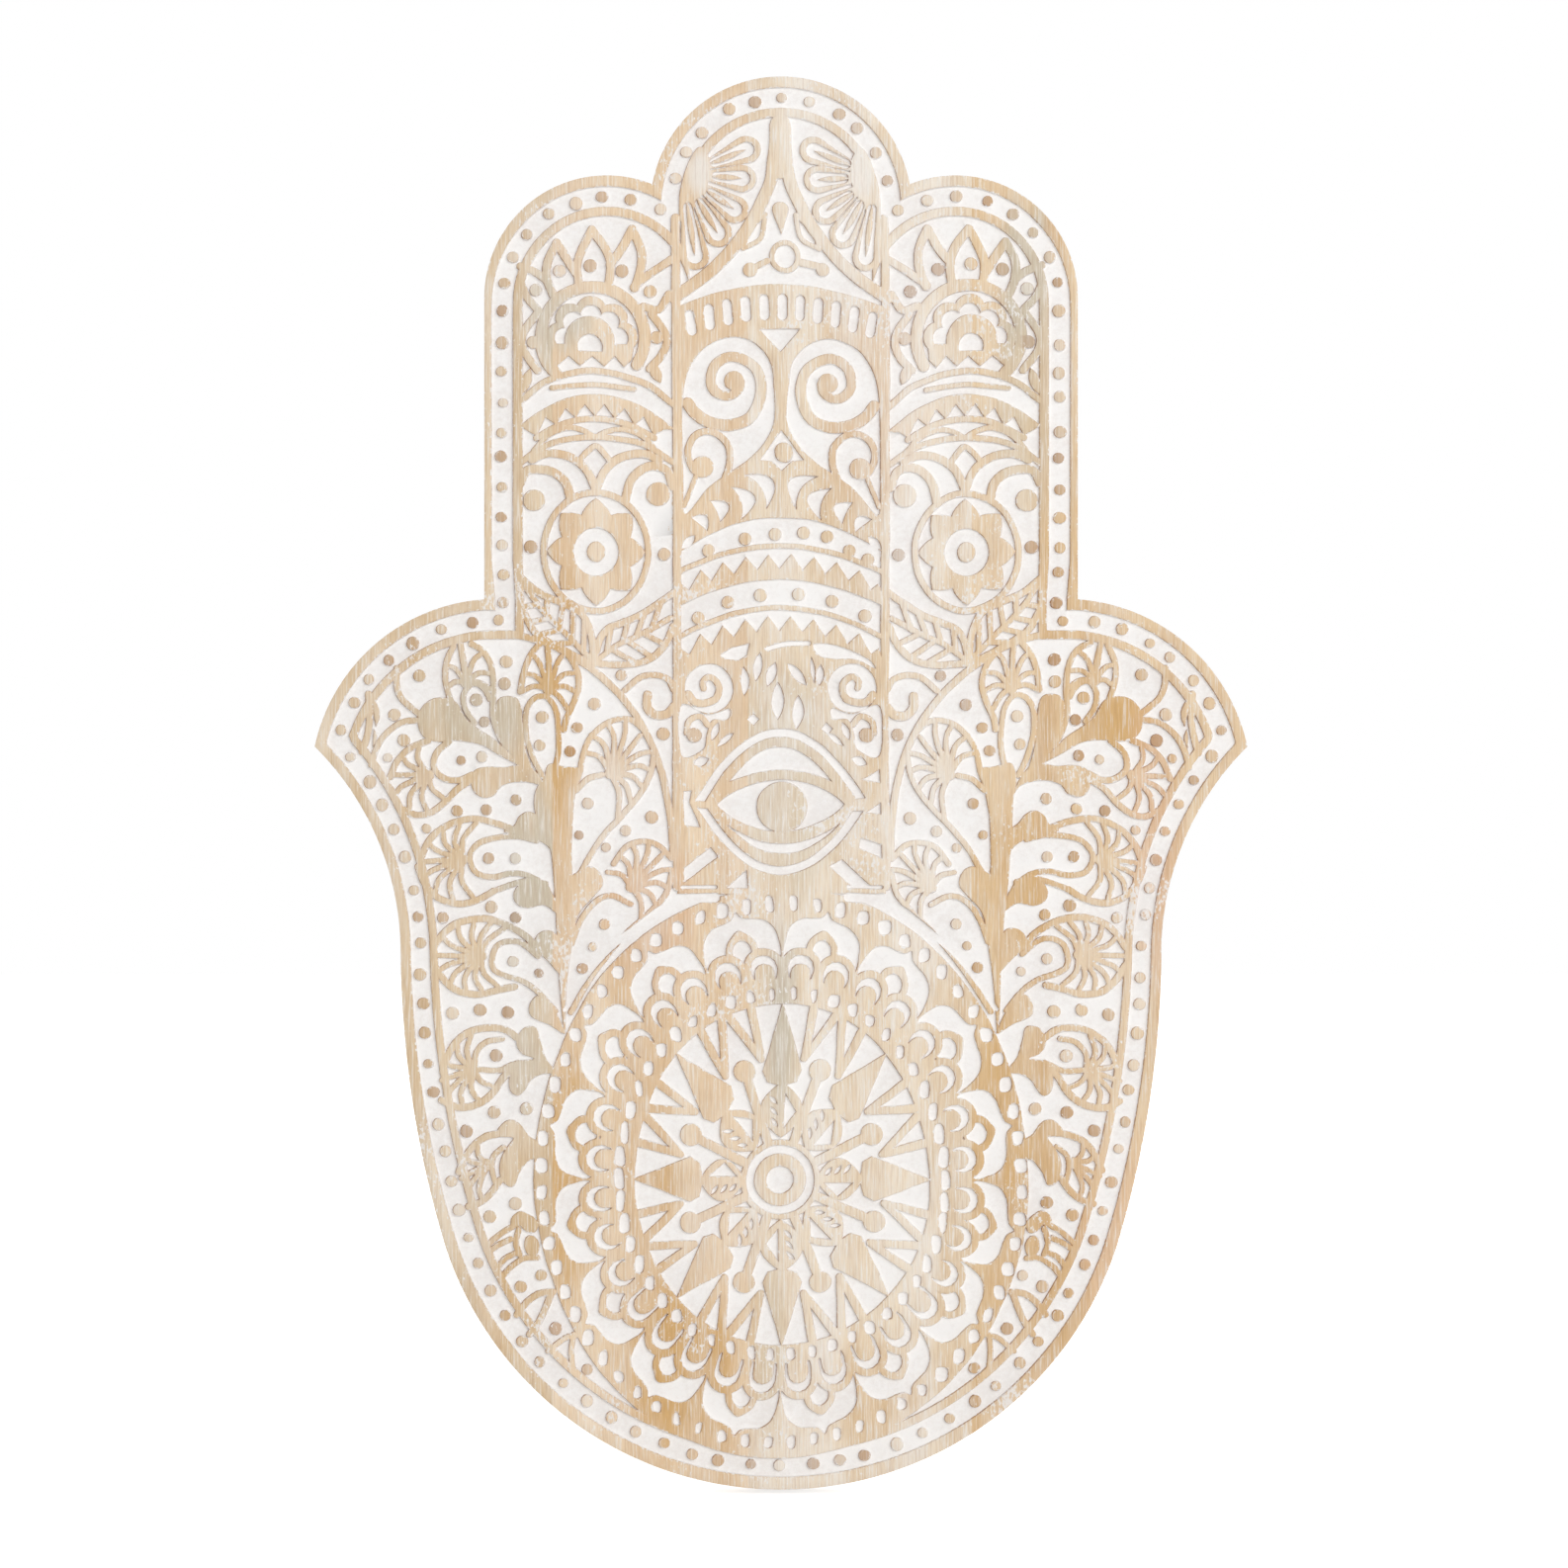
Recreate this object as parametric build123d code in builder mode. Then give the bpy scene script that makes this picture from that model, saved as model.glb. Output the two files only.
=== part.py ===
"""Carved hamsa hand wall ornament.

A hand-shaped board is glued up from four upright staves and carved on its front.
Two hanger straps, each with a swinging ring, are screwed to its back, and two
bumpers keep it parallel to the wall.

Frame: the origin is midway between the two hanging points, on the wall plane.
+Z is up and the carved face looks along -Y. Sizes are in millimetres.
"""

from build123d import *
from math import cos, radians, sin
import os

os.makedirs("parts", exist_ok=True)

# Board outline, from the middle line and up from the lowest point of the palm
hand_height = 600.0
board_thickness = 18.0
palm_radius = 150.0
palm_arc_degrees = 71.5
palm_side_radius = 440.0
wrist_half_width = 161.5
wrist_height = 227.5
wrist_radius = 123.5
thumb_tip_x = 198.0
thumb_tip_height = 315.5
thumb_radius = 79.0
shoulder_height = 378.0
finger_half_width = 126.0
finger_radius = 52.0
finger_centre_height = 506.0
middle_finger_radius = 55.5

# Glue lines between the staves, from the middle line
glue_lines = (-97.0, -14.0, 81.0)
stave_names = ("left_outer_stave", "left_inner_stave", "right_inner_stave", "right_outer_stave")

# Carving: its depth, and the rim channel with its beads
carving_depth = 2.0
rim_width = 4.5
channel_width = 8.7
bead_radius = 2.7
bead_pitch = 12.7

# The eye, up from its own middle height
eye_height = 291.5
eye_half_width = 36.0
eye_rise = 31.0
eye_line_width = 2.8
eye_white_half_width = 27.0
eye_white_rise = 11.0
iris_radius = 9.8
lid_half_width = 22.0
lid_tip_rise = 9.5
lid_band = 3.5
lid_rise = 24.5
crescent_width = 4.5

# The mandala, outward from its centre
mandala_height = 132.0
mandala_roundness = 0.92
hub_radius = 5.8
collar_radius = 11.0
collar_groove_radius = 14.6
ray_count = 16
ray_root_radius = 24.0
ray_tip_radius = 69.0
ray_land_degrees = 4.0
petal_count = 16
petal_foot_radius = 88.0
petal_tip_radius = 108.0
petal_shoulder_radius = 101.0
petal_arch_radius = 95.0
petal_half_degrees = 10.0
petal_shoulder_share = 0.7

# The flower in a ring on each outer finger
rosette_x = 78.5
rosette_height = 398.0
rosette_radius = 20.5
rosette_petal_count = 8
rosette_petal_circle = 12.5
rosette_petal_radius = 6.2
rosette_well_radius = 9.5
rosette_boss_radius = 4.8

# The pair of scrolls on the middle finger
scroll_x = 21.5
scroll_height = 470.0
scroll_radius = 18.5
scroll_outer_turn = 14.0
scroll_turn_step = 3.5
scroll_half_turns = 3
scroll_line_width = 4.2
scroll_bud_radius = 3.2

# The lines left standing round the carved fields: inside the rim, and up the middle finger
field_line_width = 4.0
column_x = 44.3
column_line_width = 3.6

# The fields of the outer fingers, with arched bands by their crowns and a half flower above
finger_field_foot = 386.0
rosette_ring_width = 2.9
band_crowns = (475.0, 463.0, 446.5)
band_line_widths = (2.6, 6.0, 3.0)
band_drop = 13.5
half_flower_height = 489.5
half_flower_arch_radius = 22.6
half_flower_arch_width = 4.2
half_flower_lobe_count = 5
half_flower_lobe_circle = 14.2
half_flower_lobe_radius = 5.8
half_flower_lobe_well = 3.6
half_flower_heart_radius = 10.0
spike_spread = 17.0
spike_foot_height = 512.0
spike_tip_height = 535.0
spike_half_width = 6.5
spike_line_width = 2.2
spike_tip_land = 3.0

# The two leaves below each rosette, from the node where they meet to their tips
leaf_node = (79.5, 353.0)
leaf_tips = ((47.5, 376.0), (109.0, 384.0))
leaf_bulge = 7.5
leaf_vein_width = 2.2

# The middle finger's tip field, its slots, and the bands of dots and teeth under the scrolls
tip_field_foot = 511.5
tip_field_side_foot = 503.0
tip_stem_width = 9.0
tip_stem_foot = 562.0
tip_leg_width = 5.2
tip_leg_points = ((3.0, 566.0), (14.0, 535.5), (44.3, 507.0))
tip_bud_height = 524.3
tip_bud_radius = 7.7
tip_bud_well_radius = 4.9
daisy_heart = (42.5, 557.5)
daisy_turns = (154.0, 181.0, 208.0, 236.0, 263.0)
daisy_reach = 32.0
daisy_well_reach = 29.5
daisy_petal_width = 10.0
daisy_petal_well_width = 5.0
daisy_heart_radius = 14.0
slot_count = 11
slot_arch_crown = 501.0
slot_width = 4.1
slot_length = 10.5
dot_band_crowns = (412.0, 386.5)
dot_band_height = 10.0
dot_band_drop = 11.5
dot_radius = 2.75
dot_count = 7
tooth_count = 9
tooth_width = 8.0
tooth_gap = 2.2
tooth_length = 6.4

# The palm's side fields: a border, a stem, palmettes in rings and knobs
palm_field_top = 348.0
mandala_edge_radius = 118.0
border_width = 3.0
border_points = ((46.0, 270.0), (49.8, 301.0), (60.0, 326.0), (76.5, 345.5), (87.0, 353.0))
stem_width = 6.0
stem_points = ((91.5, 196.0), (90.0, 240.0), (92.5, 275.0), (92.0, 306.0))
palmettes = (
    (70.0, 304.0, 16.0),
    (62.0, 256.0, 14.0),
    (99.0, 333.0, 11.0),
    (133.0, 334.0, 12.0),
    (151.0, 302.0, 13.0),
    (136.0, 267.0, 15.0),
    (127.0, 227.0, 14.5),
    (124.0, 179.0, 13.0),
    (121.5, 138.0, 9.5),
)
palmette_line_width = 2.4
palmette_rib_count = 3
palmette_rib_width = 2.0
knobs = (
    (115.5, 330.0),
    (148.0, 325.0),
    (126.5, 300.0),
    (106.5, 282.0),
    (106.0, 253.5),
    (99.5, 233.0),
    (103.0, 203.5),
    (106.5, 190.0),
    (110.5, 172.0),
    (110.0, 114.0),
)
knob_radius = 5.5

# Hanger straps and their rings
hanger_x = 60.0
hanger_height = 470.0
strap_width = 14.0
strap_thickness = 0.9
strap_length = 48.0
strap_end_radius = 6.0
ring_wire_radius = 1.5
ring_running_gap = 0.08
ring_side_gap = 0.5
ring_corner_radius = 3.0
ring_side_length = 4.5

# Screws, down from the ring's axis
screw_drops = (26.0, 40.0)
screw_shank_radius = 1.75
screw_length = 12.0
screw_tip_length = 3.0
screw_head_radius = 3.6
screw_head_height = 2.2
screw_slot_width = 0.9
screw_slot_length = 4.2
screw_slot_depth = 1.1
strap_hole_gap = 0.25
pilot_gap = 0.03

# Bumpers
bumper_x = 70.0
bumper_height = 40.0
bumper_radius = 8.0
bumper_thickness = 6.0
bumper_edge_radius = 1.2

# Places worked out from the sizes above
middle_finger_centre_height = hand_height - middle_finger_radius
ring_half_width = strap_width / 2 + ring_side_gap + ring_corner_radius
ring_reach = ring_corner_radius + ring_side_length + ring_half_width
hang_height = hanger_height + ring_reach - ring_wire_radius
strap_eye_bore = ring_wire_radius + ring_running_gap
strap_eye_radius = strap_eye_bore + strap_thickness
back_y = -bumper_thickness
ring_axis_y = back_y + strap_eye_radius
ring_axis_z = hanger_height - hang_height
board_back = Plane(origin=(0, back_y, -hang_height), x_dir=(1, 0, 0), z_dir=(0, -1, 0))
board_front = board_back.offset(board_thickness)
sides = {"left": -1, "right": 1}


def hand_in(piece, name):
    """Names a finished piece and writes its file."""
    piece.label = name
    export_step(piece, f"parts/{name}.step")
    print(name, len(piece.solids()), "solids", round(piece.volume), "mm3")


# The hand's outline: a palm with two thumbs, and three fingers standing on it
with BuildSketch(board_back) as hand:
    with BuildLine():
        palm = CenterArc((0, palm_radius), palm_radius, -90, palm_arc_degrees)
        palm_side = RadiusArc(palm @ 1, (wrist_half_width, wrist_height), -palm_side_radius)
        wrist = RadiusArc(palm_side @ 1, (thumb_tip_x, thumb_tip_height), wrist_radius)
        thumb = RadiusArc(wrist @ 1, (finger_half_width, shoulder_height), -thumb_radius)
        Line(thumb @ 1, (0, shoulder_height))
        mirror(about=Plane.YZ)
    make_face()
    finger_x = finger_half_width - finger_radius
    for centre, radius in (
        ((-finger_x, finger_centre_height), finger_radius),
        ((finger_x, finger_centre_height), finger_radius),
        ((0, middle_finger_centre_height), middle_finger_radius),
    ):
        with Locations(centre):
            Circle(radius)
            finger_length = centre[1] - wrist_height
            Rectangle(2 * radius, finger_length, align=(Align.CENTER, Align.MAX))

# The rim channel runs round inside the edge, with a row of beads left standing in it
channel_outside = offset(hand.sketch_local, -rim_width, mode=Mode.PRIVATE)
channel_inside = offset(hand.sketch_local, -rim_width - channel_width, mode=Mode.PRIVATE)
bead_line = offset(hand.sketch_local, -rim_width - channel_width / 2, mode=Mode.PRIVATE).wire()
bead_count = round(bead_line.length / bead_pitch)
bead_places = [bead_line.position_at(i / bead_count) for i in range(bead_count)]
with BuildSketch(board_front) as rim_channel:
    add(channel_outside)
    add(channel_inside, mode=Mode.SUBTRACT)
    with Locations(*bead_places):
        Circle(bead_radius, mode=Mode.SUBTRACT)


def lens(half_width, tip_rise, first_rise, second_rise, mode=Mode.ADD):
    """A face between two arcs that meet at a left and a right tip, by heights from the eye's middle."""
    left, right = (-half_width, eye_height + tip_rise), (half_width, eye_height + tip_rise)
    with BuildLine() as edge:
        ThreePointArc(left, (0, eye_height + first_rise), right)
        ThreePointArc(right, (0, eye_height + second_rise), left)
    make_face(edge.edges(), mode=mode)


# The eye: an almond groove, the hollow of the lid, the white round the iris, a lower crescent
with BuildSketch(board_front) as eye:
    lens(eye_half_width, 0, eye_rise, -eye_rise)
    inner_rise = eye_rise - eye_line_width
    lens(eye_half_width - eye_line_width, 0, inner_rise, -inner_rise, mode=Mode.SUBTRACT)
    lid_foot = eye_white_rise + lid_band
    lens(lid_half_width, lid_tip_rise, lid_rise, lid_foot)
    lens(lid_half_width, -lid_tip_rise, -lid_foot, -lid_foot - crescent_width)
    lens(eye_white_half_width, 0, eye_white_rise, -eye_white_rise)
    with Locations((0, eye_height)):
        Circle(iris_radius, mode=Mode.SUBTRACT)


def mandala_point(radius, degrees):
    """A point of the mandala, which is a little narrower than it is tall."""
    across = mandala_roundness * radius * cos(radians(degrees))
    return (across, mandala_height + radius * sin(radians(degrees)))


def ray_hollow(middle, half):
    """The three-cornered hollow between two rays of the star."""
    with BuildLine() as edge:
        Polyline(
            mandala_point(ray_root_radius, middle),
            mandala_point(ray_tip_radius, middle - half),
            mandala_point(ray_tip_radius, middle + half),
            close=True,
        )
    make_face(edge.edges())


def petal_hollow(middle, half):
    """A lotus petal's hollow: a pointed outer edge over an arch."""
    left = mandala_point(petal_foot_radius, middle + half)
    right = mandala_point(petal_foot_radius, middle - half)
    tip = mandala_point(petal_tip_radius, middle)
    shoulder = petal_shoulder_share * half
    with BuildLine() as edge:
        ThreePointArc(right, mandala_point(petal_shoulder_radius, middle - shoulder), tip)
        ThreePointArc(tip, mandala_point(petal_shoulder_radius, middle + shoulder), left)
        ThreePointArc(left, mandala_point(petal_arch_radius, middle), right)
    make_face(edge.edges())


# The mandala: a hub and its collar, a star, and a wreath of petals
with BuildSketch(board_front) as mandala:
    with Locations(mandala_point(0, 0)):
        Circle(collar_groove_radius)
        Circle(collar_radius, mode=Mode.SUBTRACT)
        Circle(hub_radius)
    ray_step = 360 / ray_count
    for i in range(ray_count):
        ray_hollow((i + 0.5) * ray_step, (ray_step - ray_land_degrees) / 2)
    for i in range(petal_count):
        petal_hollow((i + 0.5) * 360 / petal_count, petal_half_degrees)

# A flower in a ring on each outer finger
with BuildSketch(board_front) as rosettes:
    with Locations((-rosette_x, rosette_height), (rosette_x, rosette_height)):
        Circle(rosette_radius)
        Circle(rosette_petal_circle, mode=Mode.SUBTRACT)
        with PolarLocations(rosette_petal_circle, rosette_petal_count):
            Circle(rosette_petal_radius, mode=Mode.SUBTRACT)
        Circle(rosette_well_radius)
        Circle(rosette_boss_radius, mode=Mode.SUBTRACT)

# A pair of scrolls: round hollows, each with a spiral of half turns left standing in it
with BuildSketch(board_front) as scrolls:
    with Locations((scroll_x, scroll_height)):
        Circle(scroll_radius)
    with BuildLine():
        turn_radius = scroll_outer_turn
        turn_end = scroll_height - scroll_radius
        for i in range(scroll_half_turns):
            way = 1 if i % 2 == 0 else -1
            CenterArc((scroll_x, turn_end + way * turn_radius), turn_radius, -90 * way, 180)
            turn_end += 2 * way * turn_radius
            turn_radius -= scroll_turn_step
    trace(line_width=scroll_line_width, mode=Mode.SUBTRACT)
    with Locations((scroll_x, turn_end)):
        Circle(scroll_bud_radius, mode=Mode.SUBTRACT)
    mirror(about=Plane.YZ)

# The ground of the carved fields, inside the line that follows the rim
field_ground = offset(hand.sketch_local, -rim_width - channel_width - field_line_width, mode=Mode.PRIVATE)
column_inside = column_x - column_line_width / 2
column_outside = column_x + column_line_width / 2


def arch(half_width, crown, drop, middle=0.0):
    """A shallow arc across the line being drawn, by its crown and how far its ends drop."""
    ends = (middle - half_width, crown - drop), (middle + half_width, crown - drop)
    return ThreePointArc(ends[0], (middle, crown), ends[1])


def leaf(foot, tip, bulge, mode=Mode.ADD):
    """A pointed leaf between two arcs."""
    axis = Vector(*tip) - Vector(*foot)
    middle = Vector(*foot) + axis / 2
    across = Vector(-axis.Y, axis.X).normalized() * bulge
    with BuildLine() as edge:
        ThreePointArc(foot, middle + across, tip)
        ThreePointArc(tip, middle - across, foot)
    make_face(edge.edges(), mode=mode)


# The outer fingers' fields: bands, a half flower with spikes, and the rosette's ring are left standing
with BuildSketch(board_front) as finger_fields:
    add(field_ground)
    with Locations((column_outside, finger_field_foot)):
        Rectangle(hand_height, hand_height, align=(Align.MIN, Align.MIN), mode=Mode.INTERSECT)
    half_flower = (rosette_x, half_flower_height)
    for i in (-1, 0, 1):
        spike_x = rosette_x + i * spike_spread
        foot, tip = (spike_x, spike_foot_height), (spike_x, spike_tip_height)
        leaf(foot, tip, spike_half_width, mode=Mode.SUBTRACT)
        land = Vector(0, spike_tip_land)
        leaf(Vector(*foot) + land, Vector(*tip) - land, spike_half_width - spike_line_width)
    with Locations(half_flower):
        Circle(half_flower_arch_radius + half_flower_arch_width / 2, mode=Mode.SUBTRACT)
        Circle(half_flower_arch_radius - half_flower_arch_width / 2)
        lobe_step = 180 / (half_flower_lobe_count - 1)
        with PolarLocations(half_flower_lobe_circle, half_flower_lobe_count, 0, 180 + lobe_step):
            Circle(half_flower_lobe_radius, mode=Mode.SUBTRACT)
            Circle(half_flower_lobe_well)
        Circle(half_flower_heart_radius, mode=Mode.SUBTRACT)
    for crown, line_width in zip(band_crowns, band_line_widths):
        with BuildLine() as band:
            arch(finger_half_width - rosette_x, crown, band_drop, rosette_x)
        trace(band.edges(), line_width, mode=Mode.SUBTRACT)
    with Locations((rosette_x, rosette_height)):
        Circle(rosette_radius + rosette_ring_width, mode=Mode.SUBTRACT)
    add(field_ground, mode=Mode.INTERSECT)
    mirror(about=Plane.YZ)

# A pair of leaves below each rosette, each with its vein left standing
with BuildSketch(board_front) as leaves:
    for tip in leaf_tips:
        leaf(leaf_node, tip, leaf_bulge)
    for tip in leaf_tips:
        with BuildLine() as vein:
            Line(leaf_node, tip)
        trace(vein.edges(), leaf_vein_width, mode=Mode.SUBTRACT)
    mirror(about=Plane.YZ)

# The middle finger's tip: half daisies, a stem with two legs, and a bud between them
with BuildSketch(board_front) as tip_field:
    with BuildLine() as edge:
        foot_arch = arch(column_inside, tip_field_foot, tip_field_foot - tip_field_side_foot)
        Polyline(foot_arch @ 1, (column_inside, hand_height), (-column_inside, hand_height), foot_arch @ 0)
    make_face(edge.edges())
    for way in sides.values():
        heart = Vector(way * daisy_heart[0], daisy_heart[1])
        for turn in daisy_turns:
            aim = Vector(way * cos(radians(turn)), sin(radians(turn)))
            with BuildLine() as petal:
                Line(heart, heart + aim * daisy_reach)
            trace(petal.edges(), daisy_petal_width, mode=Mode.SUBTRACT)
            with BuildLine() as petal_well:
                Line(heart + aim * daisy_heart_radius, heart + aim * daisy_well_reach)
            trace(petal_well.edges(), daisy_petal_well_width)
        with BuildLine() as leg:
            Spline(*[(way * x, y) for x, y in tip_leg_points])
        trace(leg.edges(), tip_leg_width, mode=Mode.SUBTRACT)
    with Locations((0, tip_stem_foot)):
        Rectangle(tip_stem_width, hand_height, align=(Align.CENTER, Align.MIN), mode=Mode.SUBTRACT)
    with Locations((0, tip_bud_height)):
        Circle(tip_bud_radius, mode=Mode.SUBTRACT)
        Circle(tip_bud_well_radius)
    add(field_ground, mode=Mode.INTERSECT)

# Slots along the arch above the scrolls, and below them two bands of dots over a row of teeth
with BuildSketch(board_front) as arches:
    with BuildLine(mode=Mode.PRIVATE):
        slot_arch = arch(column_inside, slot_arch_crown, tip_field_foot - tip_field_side_foot)
    with Locations(*[slot_arch @ ((i + 0.5) / slot_count) for i in range(slot_count)]):
        Rectangle(slot_width, slot_length)
    for crown in dot_band_crowns:
        with BuildLine() as edge:
            upper = arch(column_inside, crown, dot_band_drop)
            lower = arch(column_inside, crown - dot_band_height, dot_band_drop)
            Line(upper @ 0, lower @ 0)
            Line(upper @ 1, lower @ 1)
        make_face(edge.edges())
        drop_to_dots = Vector(0, dot_band_height / 2)
        with Locations(*[upper @ ((i + 0.5) / dot_count) - drop_to_dots for i in range(dot_count)]):
            Circle(dot_radius, mode=Mode.SUBTRACT)
        drop_to_teeth = Vector(0, tooth_gap)
        with Locations(*[lower @ ((i + 0.5) / tooth_count) - drop_to_teeth for i in range(tooth_count)]):
            Polygon((-tooth_width / 2, 0), (0, -tooth_length), (tooth_width / 2, 0), align=None)

# The palm's side fields, round the mandala: palmettes in rings, knobs, a border and a stem
with BuildSketch(board_front) as palm_fields:
    add(field_ground)
    with Locations((column_outside, 0)):
        Rectangle(hand_height, palm_field_top, align=(Align.MIN, Align.MIN), mode=Mode.INTERSECT)
    for x, y, radius in palmettes:
        with Locations((x, y)):
            Circle(radius, mode=Mode.SUBTRACT)
            Circle(radius - palmette_line_width)
            for i in range(palmette_rib_count):
                turn = 180 * i / palmette_rib_count
                rib_length = 2 * radius - palmette_line_width
                Rectangle(rib_length, palmette_rib_width, rotation=turn, mode=Mode.SUBTRACT)
    with Locations(*knobs):
        Circle(knob_radius, mode=Mode.SUBTRACT)
    for points, line_width in ((border_points, border_width), (stem_points, stem_width)):
        with BuildLine() as line:
            Spline(*points)
        trace(line.edges(), line_width, mode=Mode.SUBTRACT)
    with Locations((0, mandala_height)):
        Ellipse(mandala_roundness * mandala_edge_radius, mandala_edge_radius, mode=Mode.SUBTRACT)
    add(field_ground, mode=Mode.INTERSECT)
    mirror(about=Plane.YZ)

# Pilot holes for the hanger screws
screw_spots = [(way * hanger_x, hanger_height - drop) for way in sides.values() for drop in screw_drops]
pilot_depth = screw_length - strap_thickness + pilot_gap
with BuildSketch(board_back) as pilot_holes:
    with Locations(*screw_spots):
        Circle(screw_shank_radius + pilot_gap)

# Each stave is a strip of the board between two glue lines, carved on its front
motifs = (rim_channel, eye, mandala, rosettes, scrolls, leaves, arches)
fields = (finger_fields, tip_field, palm_fields)
strip_edges = (-thumb_tip_x - rim_width, *glue_lines, thumb_tip_x + rim_width)
for stave_name, left, right in zip(stave_names, strip_edges, strip_edges[1:]):
    with BuildSketch(mode=Mode.PRIVATE) as strip:
        with Locations((left, 0)):
            Rectangle(right - left, hand_height, align=(Align.MIN, Align.MIN))
    with BuildPart() as stave:
        with BuildSketch(board_back):
            add(hand.sketch_local)
            add(strip.sketch, mode=Mode.INTERSECT)
        extrude(amount=board_thickness)
        with BuildSketch(board_front):
            for hollow in (*motifs, *fields):
                add(hollow.sketch_local)
            add(strip.sketch, mode=Mode.INTERSECT)
        extrude(amount=-carving_depth, mode=Mode.SUBTRACT)
        extrude(pilot_holes.sketch, amount=pilot_depth, mode=Mode.SUBTRACT)
    hand_in(stave.part, stave_name)

# A hanger strap on each side: a plate with one end rolled into an eye for the ring
for side, way in sides.items():
    strap_side = Plane(origin=(way * hanger_x, back_y, ring_axis_z), x_dir=(0, 1, 0), z_dir=(1, 0, 0))
    with BuildPart() as strap:
        with BuildSketch(strap_side):
            Rectangle(strap_thickness, strap_length, align=(Align.MIN, Align.MAX))
            with Locations((strap_eye_radius, 0)):
                Circle(strap_eye_radius)
                Circle(strap_eye_bore, mode=Mode.SUBTRACT)
                Rectangle(
                    strap_eye_bore,
                    strap_eye_radius,
                    align=(Align.MAX, Align.MAX),
                    mode=Mode.SUBTRACT,
                )
        extrude(amount=strap_width / 2, both=True)
        fillet(strap.edges().filter_by(Axis.Y).group_by(Axis.Z)[0], strap_end_radius)
        for drop in screw_drops:
            hole_place = Plane(origin=(way * hanger_x, back_y, ring_axis_z - drop), z_dir=(0, 1, 0))
            with BuildSketch(hole_place):
                Circle(screw_shank_radius + strap_hole_gap)
            extrude(amount=strap_thickness, mode=Mode.SUBTRACT)
    hand_in(strap.part, f"{side}_hanger_strap")

# A ring in each strap's eye, hanging down: a bar, two round corners, two sides and a bow
for side, way in sides.items():
    ring_plane = Plane(
        origin=(way * hanger_x, ring_axis_y, ring_axis_z), x_dir=(1, 0, 0), z_dir=(0, -1, 0)
    )
    bar_end = ring_half_width - ring_corner_radius
    side_end = -ring_corner_radius - ring_side_length
    with BuildPart() as ring:
        with BuildLine(ring_plane) as ring_line:
            bar = Line((-bar_end, 0), (bar_end, 0))
            corner = TangentArc(bar @ 1, (ring_half_width, -ring_corner_radius), tangent=bar % 1)
            ring_side = Line(corner @ 1, (ring_half_width, side_end))
            bow = TangentArc(ring_side @ 1, (-ring_half_width, side_end), tangent=ring_side % 1)
            far_side = Line(bow @ 1, (-ring_half_width, -ring_corner_radius))
            TangentArc(far_side @ 1, bar @ 0, tangent=far_side % 1)
        with BuildSketch(Plane(origin=bar @ 0, z_dir=bar % 0)):
            Circle(ring_wire_radius)
        sweep(path=ring_line.wire())
    hand_in(ring.part, f"{side}_ring")

# One wood screw with a domed, cross-slotted head, then the four in their places
with BuildPart() as screw:
    with BuildSketch(Plane.XZ):
        with BuildLine():
            Polyline(
                (screw_head_radius, 0),
                (screw_shank_radius, 0),
                (screw_shank_radius, screw_tip_length - screw_length),
                (0, -screw_length),
                (0, screw_head_height),
            )
            TangentArc((0, screw_head_height), (screw_head_radius, 0), tangent=(1, 0))
        make_face()
    revolve(axis=Axis.Z)
    with BuildSketch(Plane.XY.offset(screw_head_height)):
        Rectangle(screw_slot_length, screw_slot_width)
        Rectangle(screw_slot_width, screw_slot_length)
    extrude(amount=-screw_slot_depth, mode=Mode.SUBTRACT)

strap_top = Plane(origin=(0, back_y + strap_thickness, -hang_height), x_dir=(-1, 0, 0), z_dir=(0, 1, 0))
with BuildPart() as hanger_screws:
    with Locations(strap_top):
        with Locations(*screw_spots):
            add(screw.part)
hand_in(hanger_screws.part, "hanger_screws")

# A soft bumper low on each side
for side, way in sides.items():
    bumper_foot = Plane(origin=(way * bumper_x, back_y, bumper_height - hang_height), z_dir=(0, 1, 0))
    with BuildPart() as bumper:
        with BuildSketch(bumper_foot):
            Circle(bumper_radius)
        extrude(amount=bumper_thickness)
        fillet(bumper.edges().group_by(Axis.Y)[-1], bumper_edge_radius)
    hand_in(bumper.part, f"{side}_bumper")
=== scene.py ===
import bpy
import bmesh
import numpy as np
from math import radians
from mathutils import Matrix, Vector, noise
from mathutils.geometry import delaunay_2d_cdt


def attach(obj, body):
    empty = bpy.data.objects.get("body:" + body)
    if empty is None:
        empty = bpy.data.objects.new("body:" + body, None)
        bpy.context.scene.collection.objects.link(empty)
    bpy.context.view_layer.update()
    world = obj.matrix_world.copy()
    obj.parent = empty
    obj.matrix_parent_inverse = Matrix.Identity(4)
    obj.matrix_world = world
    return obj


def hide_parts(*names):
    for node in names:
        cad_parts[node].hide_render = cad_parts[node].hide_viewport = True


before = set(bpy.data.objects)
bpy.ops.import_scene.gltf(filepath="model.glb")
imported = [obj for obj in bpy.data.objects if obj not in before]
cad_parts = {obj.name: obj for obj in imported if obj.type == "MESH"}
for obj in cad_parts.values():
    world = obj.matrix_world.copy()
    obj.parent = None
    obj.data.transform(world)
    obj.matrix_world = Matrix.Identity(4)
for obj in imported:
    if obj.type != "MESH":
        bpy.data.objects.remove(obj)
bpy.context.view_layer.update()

# %% [markdown]
# # A carved hamsa hand
# The piece is a wall ornament: a hand 60 cm tall cut from a board of four glued staves,
# carved in low relief with a gouge, then washed with thin white paint and rubbed back
# so the paint stays in the hollows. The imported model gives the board, its hangers and
# their places; this lesson carves the face and gives every piece its finish.
#
# The drawing is in millimetres and Blender works in metres. The model's origin is on the
# wall: the carved face lies 24 mm in front of it, the back of the board 6 mm, and the
# hand's lowest point is 486.5 mm below it.

LOWEST_POINT = -486.5
FACE = -24.0
BACK = -6.0


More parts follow.
